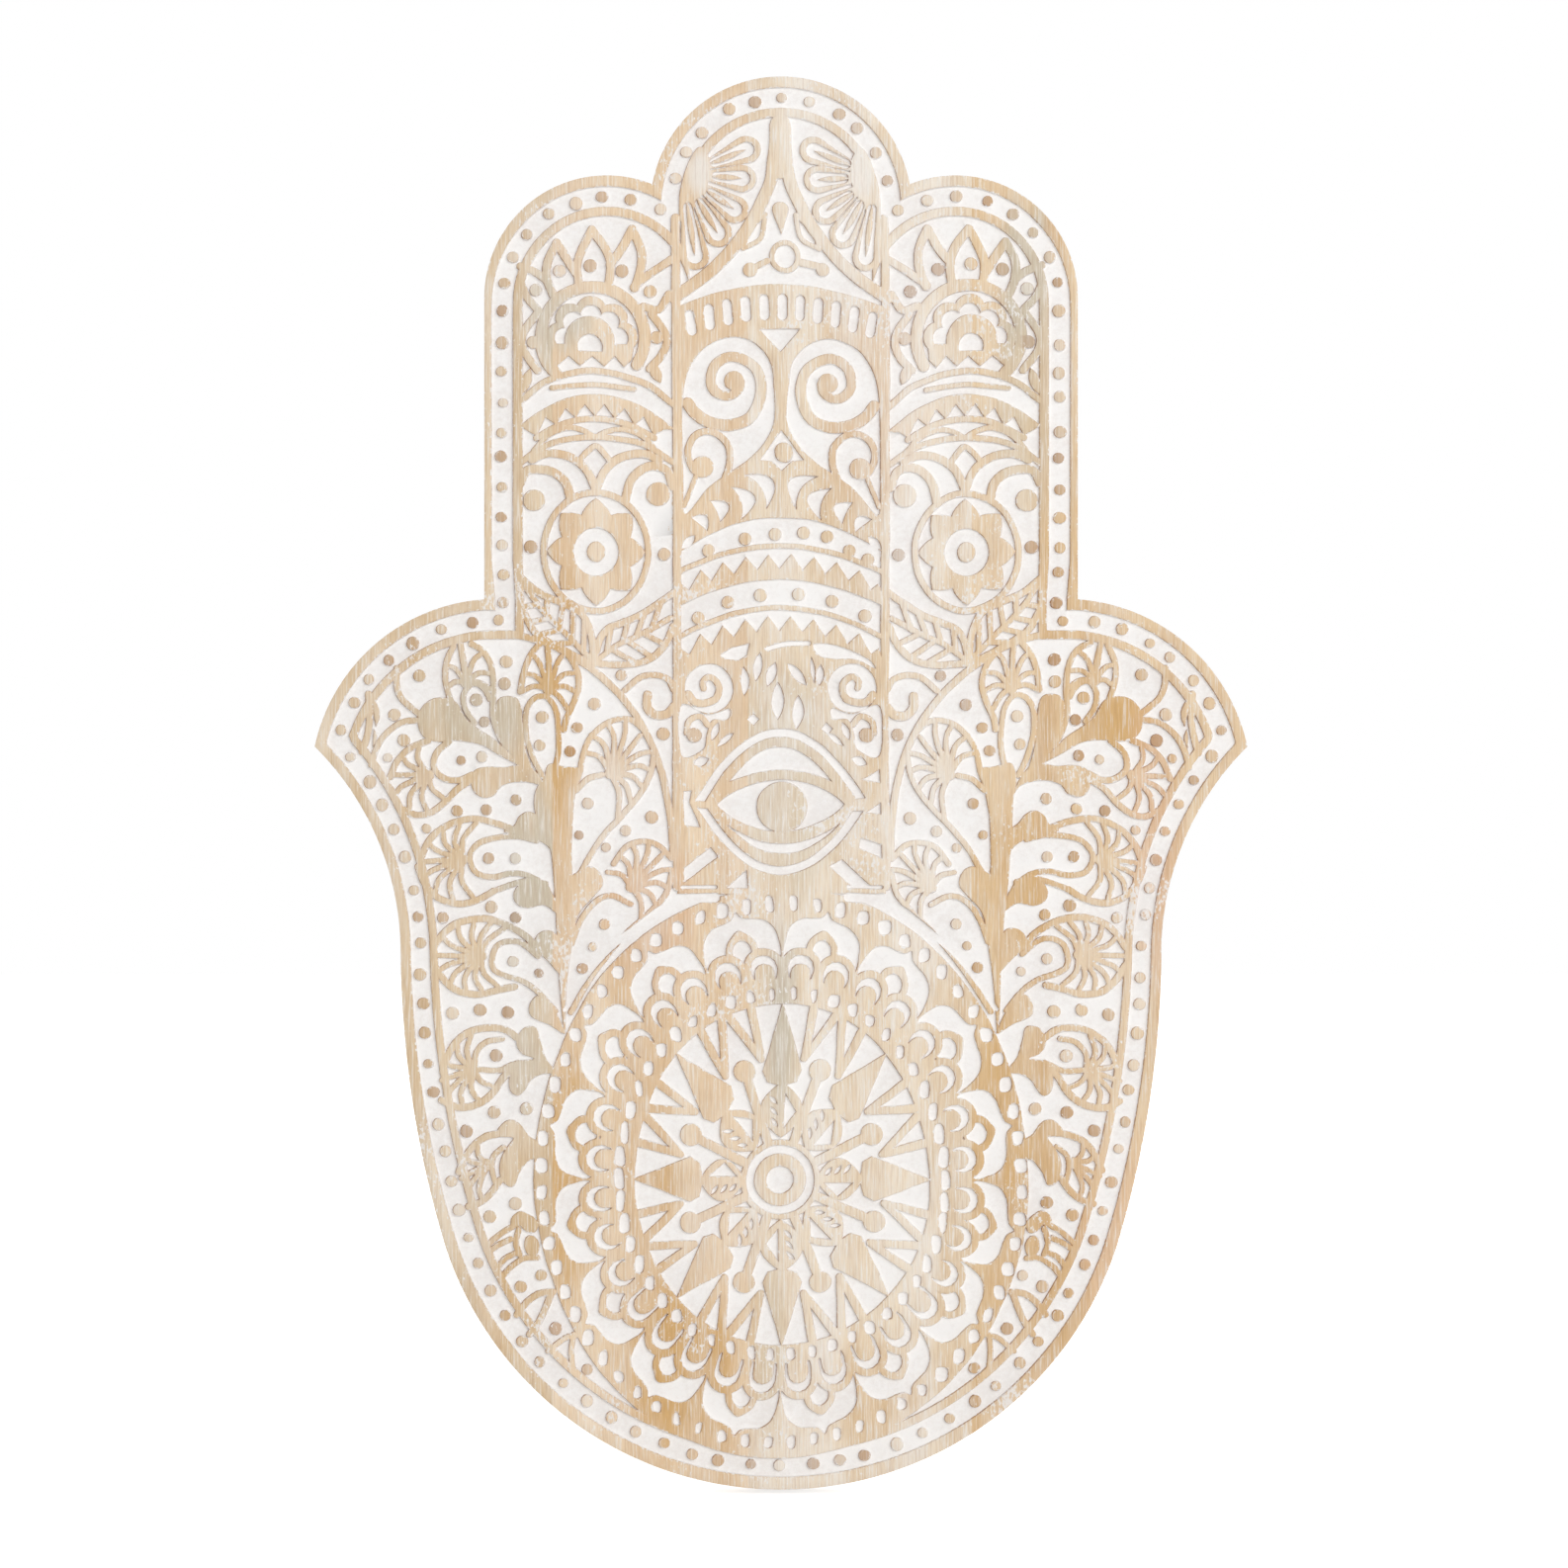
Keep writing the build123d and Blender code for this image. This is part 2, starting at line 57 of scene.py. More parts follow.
def in_model(x, depth, y):
    return x / 1000, depth / 1000, LOWEST_POINT / 1000 + y / 1000


print("pieces in the model:", ", ".join(sorted(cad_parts)))

# %% [markdown]
# ## Drawing with outlines
# A carver first draws the pattern on the board. Here every motif is a closed outline in
# millimetres, x across from the hand's axis and y up from its lowest point. A point is
# written as one complex number, so turning and mirroring a motif are single steps.

# %% Pencil lines
STEP = 1.1
LONG_STEP = 3
LONG_RADIUS = 60


def way(degrees):
    return np.exp(1j * np.radians(degrees))


def circle(centre, radius, squash=1.0):
    count = max(14, round(6.3 * radius / STEP))
    turn = way(360.0 * np.arange(count) / count)
    return centre + radius * (turn.real + 1j * squash * turn.imag)


def arc(centre, radius, first, last):
    step = STEP if radius < LONG_RADIUS else LONG_STEP
    count = max(4, round(abs(radians(last - first)) * radius / step))
    return centre + radius * way(np.linspace(first, last, count + 1))


def smooth(points, closed=False):
    p = np.array(points, complex)
    if closed:
        p = np.concatenate([p[-1:], p, p[:2]])
    else:
        p = np.concatenate([[2 * p[0] - p[1]], p, [2 * p[-1] - p[-2]]])
    line = []
    for a, b, c, d in zip(p, p[1:], p[2:], p[3:]):
        count = max(2, round(abs(c - b) / STEP))
        t = np.arange(count) / count
        bend = 2 * a - 5 * b + 4 * c - d + t * (3 * b - a - 3 * c + d)
        line.append(b + 0.5 * t * (c - a + t * bend))
    return np.concatenate(line if closed else line + [p[-2:-1]])


def straight(points):
    p = np.array(points, complex)
    line = []
    for a, b in zip(p, np.roll(p, -1)):
        count = max(1, round(abs(b - a) / STEP))
        line.append(a + (b - a) * np.arange(count) / count)
    return np.concatenate(line)


print("a circle of 10 mm radius has", len(circle(0, 10)), "points")

# %% [markdown]
# Four shapes come back all over the hand. A ribbon is a stroke with round ends that may
# widen along its way, a leaf is pointed at both ends, a drop has one point and one round
# end, and a lens is two bowed lids that meet in a corner on each side.

# %% Ribbon, leaf, drop and lens
def ribbon(points, width, end_width=None):
    line = smooth(points)
    half = np.linspace(width, end_width or width, len(line)) / 2
    along = np.gradient(line)
    along = along / abs(along)
    cap = way(np.array([60, 30, 0, -30, -60]))
    far_end = line[-1] + half[-1] * along[-1] * cap
    near_end = line[0] - half[0] * along[0] * cap
    left, right = line + 1j * along * half, line - 1j * along * half
    return np.concatenate([left, far_end, right[::-1], near_end])


def leaf(foot, tip, left, right):
    count = max(5, round(abs(tip - foot) / STEP))
    t = np.arange(count + 1) / count
    axis = foot + (tip - foot) * t
    across = 1j * (tip - foot) / abs(tip - foot) * 4 * t * (1 - t)
    return np.concatenate([(axis - right * across)[:-1], (axis + left * across)[:0:-1]])


def drop(point, centre, radius):
    reach = centre - point
    slant = 90 + np.degrees(np.arcsin(min(0.95, radius / abs(reach))))
    bulb = arc(centre, radius, -slant, slant)
    bulb = centre + (bulb - centre) * reach / abs(reach)
    sides = np.linspace(0.12, 0.9, max(3, round(abs(reach) / STEP)))
    rise = point + (bulb[0] - point) * sides
    fall = point + (bulb[-1] - point) * sides[::-1]
    return np.concatenate([[point], rise, bulb, fall])


def lens(half_width, middle, top, bottom, fullness):
    t = np.linspace(-1, 1, max(9, round(2.6 * half_width / STEP)))
    upper = half_width * t + 1j * (middle + (top - middle) * (1 - t ** 2) ** fullness)
    lower = half_width * t + 1j * (middle + (bottom - middle) * (1 - t ** 2) ** fullness)
    return np.concatenate([lower, upper[-2:0:-1]])


print("a leaf 20 mm long has", len(leaf(0, 20, 3, 3)), "points")

# %% [markdown]
# ## Leave or cut
# The pattern is built in order like work on the bench: some shapes are left standing at
# the face of the board, some are cut down to the ground. Nearly all of it is drawn twice,
# the second time mirrored. A hand never repeats itself exactly, so each outline is nudged
# a little before it is kept: a slow drift moves whole motifs, a quick tremble their edges.
# Blender's noise vectors start from the clock unless they are given a seed, and with one
# every run carves the same hand.

# %% The carver's list
carving = []
dots = []
WANDER_SEED = 48
DRIFT = 1.7
DRIFT_SCALE = 0.013
TREMBLE = 0.28
TREMBLE_SCALE = 0.11
noise.seed_set(WANDER_SEED)


def wander(outline):
    moved = []
    for p in outline:
        spot = Vector((p.real, p.imag, 40.0))
        slow = noise.noise_vector(spot * DRIFT_SCALE)
        quick = noise.noise_vector(spot * TREMBLE_SCALE)
        x = DRIFT * slow.x + TREMBLE * quick.x
        y = DRIFT * slow.y + TREMBLE * quick.y
        moved.append(p + complex(x, y))
    return np.array(moved)


def leave_once(*outlines):
    carving.extend((True, wander(outline)) for outline in outlines)


def cut_once(*outlines):
    carving.extend((False, wander(outline)) for outline in outlines)


def leave(*outlines):
    for outline in outlines:
        leave_once(outline, -outline.conjugate())


def cut(*outlines):
    for outline in outlines:
        cut_once(outline, -outline.conjugate())


axis = 1j * np.arange(600)
print("the axis wanders by up to", round(abs(wander(axis) - axis).max(), 2), "mm")

# %% [markdown]
# Some marks need a word of their own: a dot is remembered, since each gets its own tone
# later; strokes share one width; a bud is one closed outline through its points; fronds
# are a fan of ribs from one hub, each bent a little towards the tip.

# %% Dots, strokes, buds and fronds
def leave_dots(radius, *centres):
    leave(*[circle(centre, radius) for centre in centres])
    dots.extend(outline for _, outline in carving[-2 * len(centres):])


def strokes(width, *lines):
    leave(*[ribbon(line, width) for line in lines])


def bud(*points):
    leave(smooth(points, closed=True))


def fronds(hub, tip, *ends):
    lift = (tip - hub) / abs(tip - hub)
    for end in (tip, *ends):
        reach = end - hub
        leave(ribbon([hub, hub + 0.55 * reach + 0.17 * abs(reach) * lift, end], 2.5, 2.1))
    leave(circle(hub, 2.5))


print("outlines kept so far:", len(carving))

# %% [markdown]
# ## The hand and its beaded rim
# Three rounded shapes make the hand: the palm with its two outturned thumbs, the outer
# fingers and the middle finger. The side of the palm is a chain of bows. A bow is an arc
# from one point to the next with a given radius, and a negative radius hollows it.

# %% Outline of the hand
def bow(a, b, radius):
    chord = b - a
    rise = (radius ** 2 - abs(chord) ** 2 / 4) ** 0.5 * np.sign(radius)
    centre = a + chord / 2 + 1j * chord / abs(chord) * rise
    first = np.angle(a - centre, deg=True)
    sweep = np.angle((b - centre) / (a - centre), deg=True)
    return arc(centre, abs(radius), first, first + sweep)[:-1]


HEEL = 150j + 150 * way(-18.5)
WAIST = 161.5 + 227.5j
THUMB_TIP = 198 + 315.5j
THUMB_ROOT = 126 + 378j
palm_side = np.concatenate([
    bow(0j, HEEL, 150),
    bow(HEEL, WAIST, 440),
    bow(WAIST, THUMB_TIP, -123.5),
    bow(THUMB_TIP, THUMB_ROOT, 79),
    np.linspace(THUMB_ROOT, 378j, 40)[:-1],
])
palm = np.concatenate([palm_side, [378j], -palm_side[:0:-1].conjugate()])
finger = np.concatenate([
    np.linspace(12 + 230j, 125 + 230j, 40),
    np.linspace(126 + 231j, 126 + 505j, 90),
    arc(74 + 506j, 52, 0, 180),
    np.linspace(20 + 498j, 12 + 470j, 12),
    np.linspace(12 + 467j, 12 + 232j, 80),
])
middle = np.concatenate([
    np.linspace(-55 + 300j, 55 + 300j, 40),
    np.linspace(55.5 + 301j, 55.5 + 543j, 80),
    arc(544.5j, 55.5, 0, 180),
    np.linspace(-55.5 + 543j, -55.5 + 301j, 80),
])
hand = [palm, finger, -finger[::-1].conjugate(), middle]
print("the hand is", np.ptp(palm.real), "mm across and", round(middle.imag.max(), 1), "mm tall")

# %% [markdown]
# Each shape is drawn again further and further in, which gives the narrow rim, the
# channel with its row of beads, and the line inside it. None of them keeps one width all
# round: RIM_AT holds six heights up the hand, and the rows under it the widths there.

# %% Rim and channel
RIM_AT = (60, 245, 378, 395, 500, 540)
RIM = (5.4, 4.2, 4.6, 3.2, 3.0, 4.6)
CHANNEL = (9.8, 7.9, 8.6, 9.0, 9.2, 8.6)
LINE = (3.5, 3.3, 3.7, 4.1, 4.1, 3.9)
BEADS_IN = (4.9, 4.0, 4.3, 4.5, 4.6, 4.3)


def offset(outline, distance):
    ahead = np.roll(outline, -1) - outline
    behind = outline - np.roll(outline, 1)
    along = ahead / abs(ahead) + behind / abs(behind)
    return outline - 1j * along / np.maximum(abs(along), 0.7) * distance


def inset(outline, *widths):
    depth = sum(np.interp(outline.imag, RIM_AT, width) for width in widths)
    line = offset(outline, -depth)
    gap = abs(line[:, None] - outline).min(axis=1)
    return line[gap > depth - 0.3]


def inside(points, outline):
    crossings = np.zeros(len(points), int)
    for a, b in zip(outline, np.roll(outline, -1)):
        spans = (a.imag > points.imag) != (b.imag > points.imag)
        if spans.any():
            at = a.real + (points.imag - a.imag) * (b.real - a.real) / (b.imag - a.imag)
            crossings += spans & (points.real < at)
    return crossings % 2 == 1


carving += [(False, inset(shape, RIM)) for shape in hand]
print("the channel is cut inside", len(carving), "shapes")

# %% [markdown]
# Beads stand along the middle of the channel, on the part of each shape that the others
# leave free. They share one pitch, are placed by hand and so never quite even, and
# FREE_ENDS tells how many pitches stay empty at the start and the end of each run.

# %% Beads
BEAD_PITCH = 12.6
BEAD_RADIUS = (2.15, 2.75)
BEAD_SQUASH = (0.9, 1.1)
FREE_ENDS = ((0, 0), (0.55, 1.5), (0.55, 1.5), (1.3, 1.3))
bead_lines = [inset(shape, RIM, BEADS_IN) for shape in hand]
jitter = np.random.default_rng(5)
for index, (low, high) in enumerate(FREE_ENDS):
    line = bead_lines[index]
    hidden = np.zeros(len(line), bool)
    for other in bead_lines[:index] + bead_lines[index + 1:]:
        hidden |= inside(line, other)
    first = np.flatnonzero(hidden & ~np.roll(hidden, -1))[0] + 1
    line = np.roll(line, -first)[:np.count_nonzero(~hidden)]
    if line[0].imag > line[-1].imag:
        line = line[::-1]
    length = np.concatenate([[0], np.cumsum(abs(np.diff(line)))])
    count = round(length[-1] / BEAD_PITCH - low - high)
    pitch = length[-1] / (low + count + high)
    uneven = 0.06 * jitter.standard_normal(count + 1)
    for place in (low + np.arange(count + 1) + uneven) * pitch:
        centre = np.interp(place, length, line.real) + 1j * np.interp(place, length, line.imag)
        bead = circle(centre, jitter.uniform(*BEAD_RADIUS), jitter.uniform(*BEAD_SQUASH))
        bead = bead + 0.3 * complex(*jitter.standard_normal(2))
        carving.append((True, bead))
        dots.append(bead)
leave_dots(2.4, 50.4 + 543.6j)
carving += [(True, inset(shape, RIM, CHANNEL)) for shape in hand]
carving += [(False, inset(shape, RIM, CHANNEL, LINE)) for shape in hand]
print(len(dots), "beads, and", len(carving), "outlines for the rim")

# %% [markdown]
# ## The middle finger
# A plain upright line runs down each side of the middle finger to the palm. Under its
# tip hang half flowers, a bud between spread legs, and an arched band of slots. Each
# petal of a half flower is given by its direction and its length.

# %% Tip of the middle finger
leave(ribbon([44.3 + 540j, 44.3 + 400j, 44.2 + 256j], 3.6))
leave_once(ribbon([580j, 572j, 562j], 8.7, 10.5))
flower = 41 + 558j
FLOWER_END = 5.9
FLOWER_PETALS = ((157.5, 35), (183, 31), (214, 32), (239.5, 34.5), (262, 40.5))
for turn, length in FLOWER_PETALS:
    leave(drop(flower + 2 * way(turn), flower + (length - FLOWER_END) * way(turn), FLOWER_END))
bud(34 + 570j, 30 + 564.5j, 30 + 557j, 32.5 + 550j, 36.5 + 544j, 42 + 538j, 42.5 + 550j,
    40.5 + 559j, 37.5 + 566.5j)
for turn, length in FLOWER_PETALS:
    cut(ribbon([flower + 14 * way(turn), flower + (length - FLOWER_END) * way(turn)], 4, 6.6))
    leave(leaf(flower + 11 * way(turn), flower + (length - 6) * way(turn), 1.2, 1.2))
leave(ribbon([2.6 + 566j, 4 + 556j, 8 + 546.5j, 14 + 535.5j, 22 + 525j, 32 + 515.5j, 45 + 506.5j],
             5.2))
leave_once(drop(533j, 543.5j, 3.5))
strokes(2, [16 + 527j, 13.5 + 535j, 6.5 + 541.5j], [16 + 527j, 8.5 + 531.5j, 6.5 + 541.5j])
leave_once(circle(1.4 + 523.6j, 6.6, 1.05))
cut_once(circle(1.4 + 523.6j, 4.5, 1.06))
leave_once(circle(-13.3 + 518j, 3), ribbon([-6 + 521.5j, -11 + 519.3j], 2.6))
leave_once(circle(17.2 + 518.4j, 2.9), ribbon([8 + 521.2j, 15 + 519.8j], 3.2))
print(len(carving), "outlines with the fingertip")

# %% Arched band, scrolls and crescents
block_top = [46 + 502.3j, 30 + 507.5j, 14 + 511j, 511.8j, -14 + 511j, -30 + 507.3j, -46 + 502j]
block_foot = [-46 + 397j, -30 + 406j, -15 + 411.5j, 413j, 15 + 411.8j, 30 + 406.3j, 46 + 397.5j]
leave_once(np.concatenate([smooth(block_top), smooth(block_foot)]))
for x in 7.5 * np.arange(-5, 6):
    y = 502 - 0.0048 * x * x
    cut_once(ribbon([x + 1j * (y - 3.4), 1.03 * x + 1j * (y + 3.6)], 4.1))
cut_once(straight([-9.5 + 492.5j, -0.5 + 483j, 7.5 + 493j]))
cut(smooth([21 + 489.2j, 11 + 486.3j, 4.6 + 478.5j, 3 + 468j, 2.4 + 458j, 3.2 + 451.5j,
            6.2 + 445.5j, 10.5 + 440.3j, 16 + 435.7j, 22 + 432j, 27 + 428.6j, 32 + 424.3j,
            41 + 414.5j, 41.9 + 428j, 42 + 445j, 41.8 + 460j, 40.4 + 471j, 36.5 + 480j,
            30.5 + 486j], closed=True))
leave(ribbon([39.5 + 461j, 36 + 456.5j, 30 + 453j, 21 + 451.8j, 12.5 + 455.5j, 8.3 + 466j,
              11 + 476j, 20 + 480.8j, 27.5 + 477.5j, 29.7 + 470j, 26.5 + 465j, 21.5 + 464j,
              17.6 + 467j, 17 + 470j], 5, 3.9))
leave(circle(19.8 + 470.5j, 4.2))
strokes(2.9, [24 + 429.5j, 21.7 + 436j, 22.3 + 443j, 26.5 + 447.8j, 31.5 + 449.2j, 36.5 + 447.2j,
              39.3 + 442.5j, 39.3 + 437j, 37 + 432.5j, 34 + 431j])
strokes(2, [36.5 + 430j, 39 + 424j, 41.5 + 418j])
leave(circle(33.4 + 434.3j, 4.6))
cut_once(straight([0.5 + 450j, -9 + 437.2j, -4 + 436.8j, 0.3 + 432.8j, 4.5 + 437j, 9.5 + 437.6j]))
leave_once(circle(1.2 + 440.5j, 3.9, 1.08))
cut(leaf(15.3 + 430.8j, 6.3 + 416.8j, -2.9, 8.9), leaf(21.2 + 425.8j, 17 + 412.3j, -2.3, 8.5),
    leaf(30.3 + 420j, 26 + 411j, -0.5, 6.5), leaf(38.5 + 412.8j, 31.5 + 407.3j, -0.2, 4.6),
    leaf(42.5 + 400j, 36.8 + 405.5j, 1.8, 1.8))
print(len(carving), "outlines with the scrolls")

# %% [markdown]
# Two arcs of dots follow, each above a thin line and a row of teeth. A straight outline
# closes itself, so the points that lead from the last tooth back to the first are left
# off before the foot of the band is joined on.

# %% Dots and teeth
CLOSING_POINTS = 80


def toothed_arc(height, lean):
    x = np.arange(-44, 45, 4.85)
    teeth = height - 3.4 - 6.4 * (np.arange(len(x)) % 2) - lean * x * x
    foot = np.linspace(45, -45, 60)
    leave_once(ribbon(foot + 1j * (height - lean * foot * foot), 2.2))
    edge = straight(x + 1j * teeth)[:-CLOSING_POINTS]
    leave_once(np.concatenate([edge, foot + 1j * (height - 14.5 - lean * foot * foot)]))


toothed_arc(401, 0.0058)
toothed_arc(374.5, 0.0064)
leave_once(*[circle(p, 2.75) for p in (
    -31 + 399j, -15.3 + 404j, -2.5 + 405.8j, 9.5 + 406.7j, 19.5 + 405.2j, 29 + 399.2j, 37 + 395.5j,
    -35 + 370.5j, -22.5 + 377j, -8.5 + 379.8j, 7.8 + 380.2j, 22 + 377.5j, 36 + 371.5j)])
print(len(carving), "outlines down to the second row of teeth")

# %% [markdown]
# ## The eye
# A lotus and two small scrolls sit over the eye in the middle of the hand. The eye is a
# lens inside a lens: a groove all round, the lid, the white of the eye and a round iris.

# %% Lotus and scrolls
leave_once(straight([-44 + 354j, -44 + 253j, 44 + 253j, 44 + 354j, 20 + 360j, 361j, -20 + 360j]))
cut_once(straight([-26 + 354.4j, -23.3 + 352.8j, -17.8 + 352.2j, -14.4 + 354.4j, -13.3 + 359.2j,
                   -21 + 357.8j]), ribbon([-5.5 + 357j, 2 + 359j, 12 + 359.4j], 2),
         smooth([13.9 + 358.7j, 16.7 + 354.1j, 23.3 + 353j, 32.2 + 352.8j, 38.9 + 349.6j,
                 40.2 + 349.4j, 37.8 + 352.6j, 30 + 356.6j, 21.1 + 359.2j], closed=True))
cut(circle(30.6 + 340.5j, 10.4))
leave(ribbon([39.5 + 338j, 37 + 335j, 33 + 334.3j, 28 + 336j, 26.3 + 340.5j, 28 + 344j, 31 + 345.2j,
              33.5 + 343j, 33 + 340.5j], 3.4, 2.6))
cut_once(leaf(-16 + 349.5j, -15.5 + 337.5j, 2.4, 1.2),
         leaf(-8.9 + 355.5j, -10.7 + 343.5j, 1.9, 1.9), leaf(-2 + 351.5j, -5.7 + 341.3j, 2.2, 2.2),
         leaf(3 + 351j, 11 + 341.5j, 2, 2), leaf(-1 + 343j, -1.2 + 327j, 2.8, 2.8),
         leaf(7.8 + 337.5j, 7 + 323j, 2.6, 2.2), leaf(17.2 + 350.5j, 16.6 + 341.5j, 1.8, 1.8),
         leaf(13 + 353.5j, 14.5 + 342.5j, 1, 1),
         straight([-14.2 + 327.5j, -11.3 + 324.7j, -9 + 327.5j, -11.5 + 330j]),
         straight([17.5 + 323j, 20.5 + 320.8j, 22.4 + 323.3j, 19.5 + 326j]))
cut(smooth([42.3 + 333j, 31 + 329.5j, 22 + 332j, 22.5 + 327.5j, 29 + 327j, 31.5 + 321j, 33 + 314.5j,
            42.3 + 312j], closed=True))
leave(ribbon([31 + 325j, 34.5 + 328.6j, 39 + 326.5j, 40 + 321.5j], 2.6))
leave_dots(3.2, 36.8 + 320.5j)
cut(leaf(29.5 + 318.5j, 26.5 + 326j, 1.5, 1.5), leaf(27 + 316j, 20 + 321.5j, 1.3, 1.3),
    leaf(37 + 308j, 30.5 + 310.8j, 2, 2))
print(len(carving), "outlines with the lotus")

# %% Eye
cut_once(lens(37.2, 291.7, 323.3, 261.3, 1.0))
leave_once(lens(32.8, 291.7, 319.9, 264.8, 1.0))
leave_once(ribbon([-39 + 291.3j, -31 + 291j], 3.2), ribbon([30 + 290.5j, 39 + 291.3j], 5.2))
cut_once(lens(21.7, 300.8, 315.6, 305.6, 1.0), lens(27, 291, 301.5, 279.6, 0.85))
leave_once(circle(0.6 + 290j, 10.7))
cut_once(leaf(-23 + 282.4j, 25 + 283j, -8.4, 12.6))
cut_once(straight([-41.3 + 296.7j, -41.3 + 282.2j, -34.7 + 281.4j, -38.9 + 291.7j, -38 + 297j]),
         straight([36.2 + 287.5j, 42.4 + 287.2j, 42.4 + 292j]),
         straight([34.5 + 301.5j, 42.4 + 300.5j, 42 + 306j, 38 + 303.2j]),
         straight([-41.3 + 264j, -41.3 + 257.8j, -27 + 268.8j, -30.2 + 273j]),
         straight([-23.5 + 255.7j, -14.4 + 255.7j, -14.7 + 263.4j]),
         straight([33.3 + 276.8j, 32.6 + 272.6j, 42.4 + 268.2j, 42.4 + 274j]),
         straight([20 + 264.7j, 30 + 255.7j, 38 + 255.7j, 25.4 + 267.6j]))
cut(ribbon([42 + 255.8j, 28 + 256j], 1.5), ribbon([34 + 252.2j, 8 + 252.6j], 1.4))
print(len(carving), "outlines with the eye")

# %% [markdown]
# ## The outer fingers
# Each outer finger carries a half flower of dotted petals, a run of toothed arches, a pair
# of scrolls and an eight-petalled rosette with leaves below it.

# %% Half flower
heart = 79.5 + 489.5j
strokes(3.7, [62.7 + 535.5j, 59 + 527.5j, 58.6 + 520j, 61.5 + 511j],
        [62.7 + 535.5j, 67 + 527.5j, 72 + 521j],
        [80 + 535.5j, 74.3 + 528j, 71.7 + 521j, 72.5 + 512j],
        [80 + 535.5j, 84.3 + 527j, 86.2 + 520.5j, 85.5 + 513j],
        [95.3 + 530j, 91 + 524j, 87 + 517.5j],
        [95.3 + 530j, 99 + 522.5j, 99.2 + 515.5j, 96.5 + 508j])
strokes(3.3, [99 + 514j, 104 + 517.5j, 110.5 + 520j], [102.5 + 501j, 107.5 + 506.5j, 110.5 + 513j],
        [62 + 511.5j, 54 + 517.5j, 46 + 522.5j], [58 + 503j, 51.5 + 501.5j, 47 + 508j],
        [103.5 + 499.5j, 109 + 491.5j, 109 + 484.5j, 103 + 475.5j],
        [54.5 + 500j, 48.3 + 490j, 50.3 + 482j, 55.5 + 476j])
leave(leaf(106 + 476.5j, 110 + 465j, 2.2, 2.2), leaf(55 + 479j, 51 + 470j, 2.4, 2.4))
leave(ribbon(arc(heart, 22.1, -46, 226)[::6], 5.1))
leave_dots(2.75, 66.8 + 518.3j, 80.5 + 520.5j, 93.8 + 518.3j, 104 + 510j, 55 + 509.2j,
           104.8 + 487.5j, 52.3 + 489.5j)
LOBES = (8, 48, 90, 132, 172)
for turn in LOBES:
    leave(circle(80 + 488j + 13.3 * way(turn), 6.5))
for turn in LOBES:
    cut(circle(80 + 488j + 11.3 * way(turn), 4.5))
leave(np.concatenate([arc(80.8 + 488.4j, 10.7, 0, 180), np.linspace(70.1 + 483j, 91.5 + 483j, 20)]))
leave(straight([62 + 487j, 63 + 480j, 66.2 + 476.8j, 70.2 + 481.7j, 74.7 + 477.3j, 79.6 + 481.7j,
                84.9 + 477.3j, 89.8 + 481.7j, 95.1 + 477j, 98.3 + 481j, 99 + 487j]))
cut(np.concatenate([arc(80.6 + 486j, 5.2, 0, 180), np.linspace(75.5 + 483.9j, 85.7 + 483.9j, 10)]))
print(len(carving), "outlines with the half flowers")

# %% Arches and scrolls
leave(ribbon([45.5 + 460.5j, 58 + 470j, 79 + 475.3j, 98 + 471.3j, 111 + 462j], 2.8))
leave(ribbon([62 + 467.4j, 79 + 469.4j, 97 + 467.8j], 2.2))
x = np.arange(50, 108.5, 4.15)
teeth = 461.2 - 5.4 * (np.arange(len(x)) % 2) - 0.0135 * (x - 79) ** 2
closing_points = 53
crest = np.linspace(111, 45, 50)
crest = crest + 1j * (465.4 - 0.0135 * (crest - 79) ** 2)
leave(np.concatenate([straight(x + 1j * teeth)[:-closing_points], crest]))
leave(ribbon([54 + 446.5j, 66 + 452.6j, 79 + 454.7j, 92 + 452.6j, 104 + 446.5j], 2.7))
leave(ribbon([53 + 441j, 59 + 447j, 67 + 450.3j, 74 + 449.3j, 79 + 446.5j], 2.3),
      ribbon([105 + 441j, 99 + 447.5j, 91 + 450.8j, 84 + 449.5j, 79 + 446.5j], 2.3))
leave(ribbon([46 + 436j, 56 + 442.5j, 66 + 445.5j, 79 + 446.8j, 92 + 445.6j, 102 + 442j,
              111 + 435.5j], 2.6))
leave(ribbon([72.5 + 436j, 76 + 440.5j, 79 + 443j, 82.5 + 440.5j, 86 + 436.5j], 2.5))
leave(ribbon([52 + 437j, 58 + 439.6j, 65 + 439.2j, 71 + 436.5j, 75.5 + 432j, 78.7 + 425j], 3.5),
      ribbon([106 + 437j, 100 + 439.6j, 93 + 439.2j, 87 + 436.5j, 82.5 + 432j, 79.3 + 425j], 3.5))
leave(ribbon([46.5 + 426j, 49 + 432.5j, 54.5 + 434.6j, 60 + 432.8j, 64.5 + 428j, 66.5 + 420j], 3.8),
      ribbon([111 + 427j, 108 + 432.3j, 102.5 + 433j, 96.5 + 431.5j, 91.5 + 427j, 89.5 + 420j],
             3.8))
leave(circle(52.6 + 422.7j, 5), circle(105 + 419.8j, 4.6))
print(len(carving), "outlines with the arches")

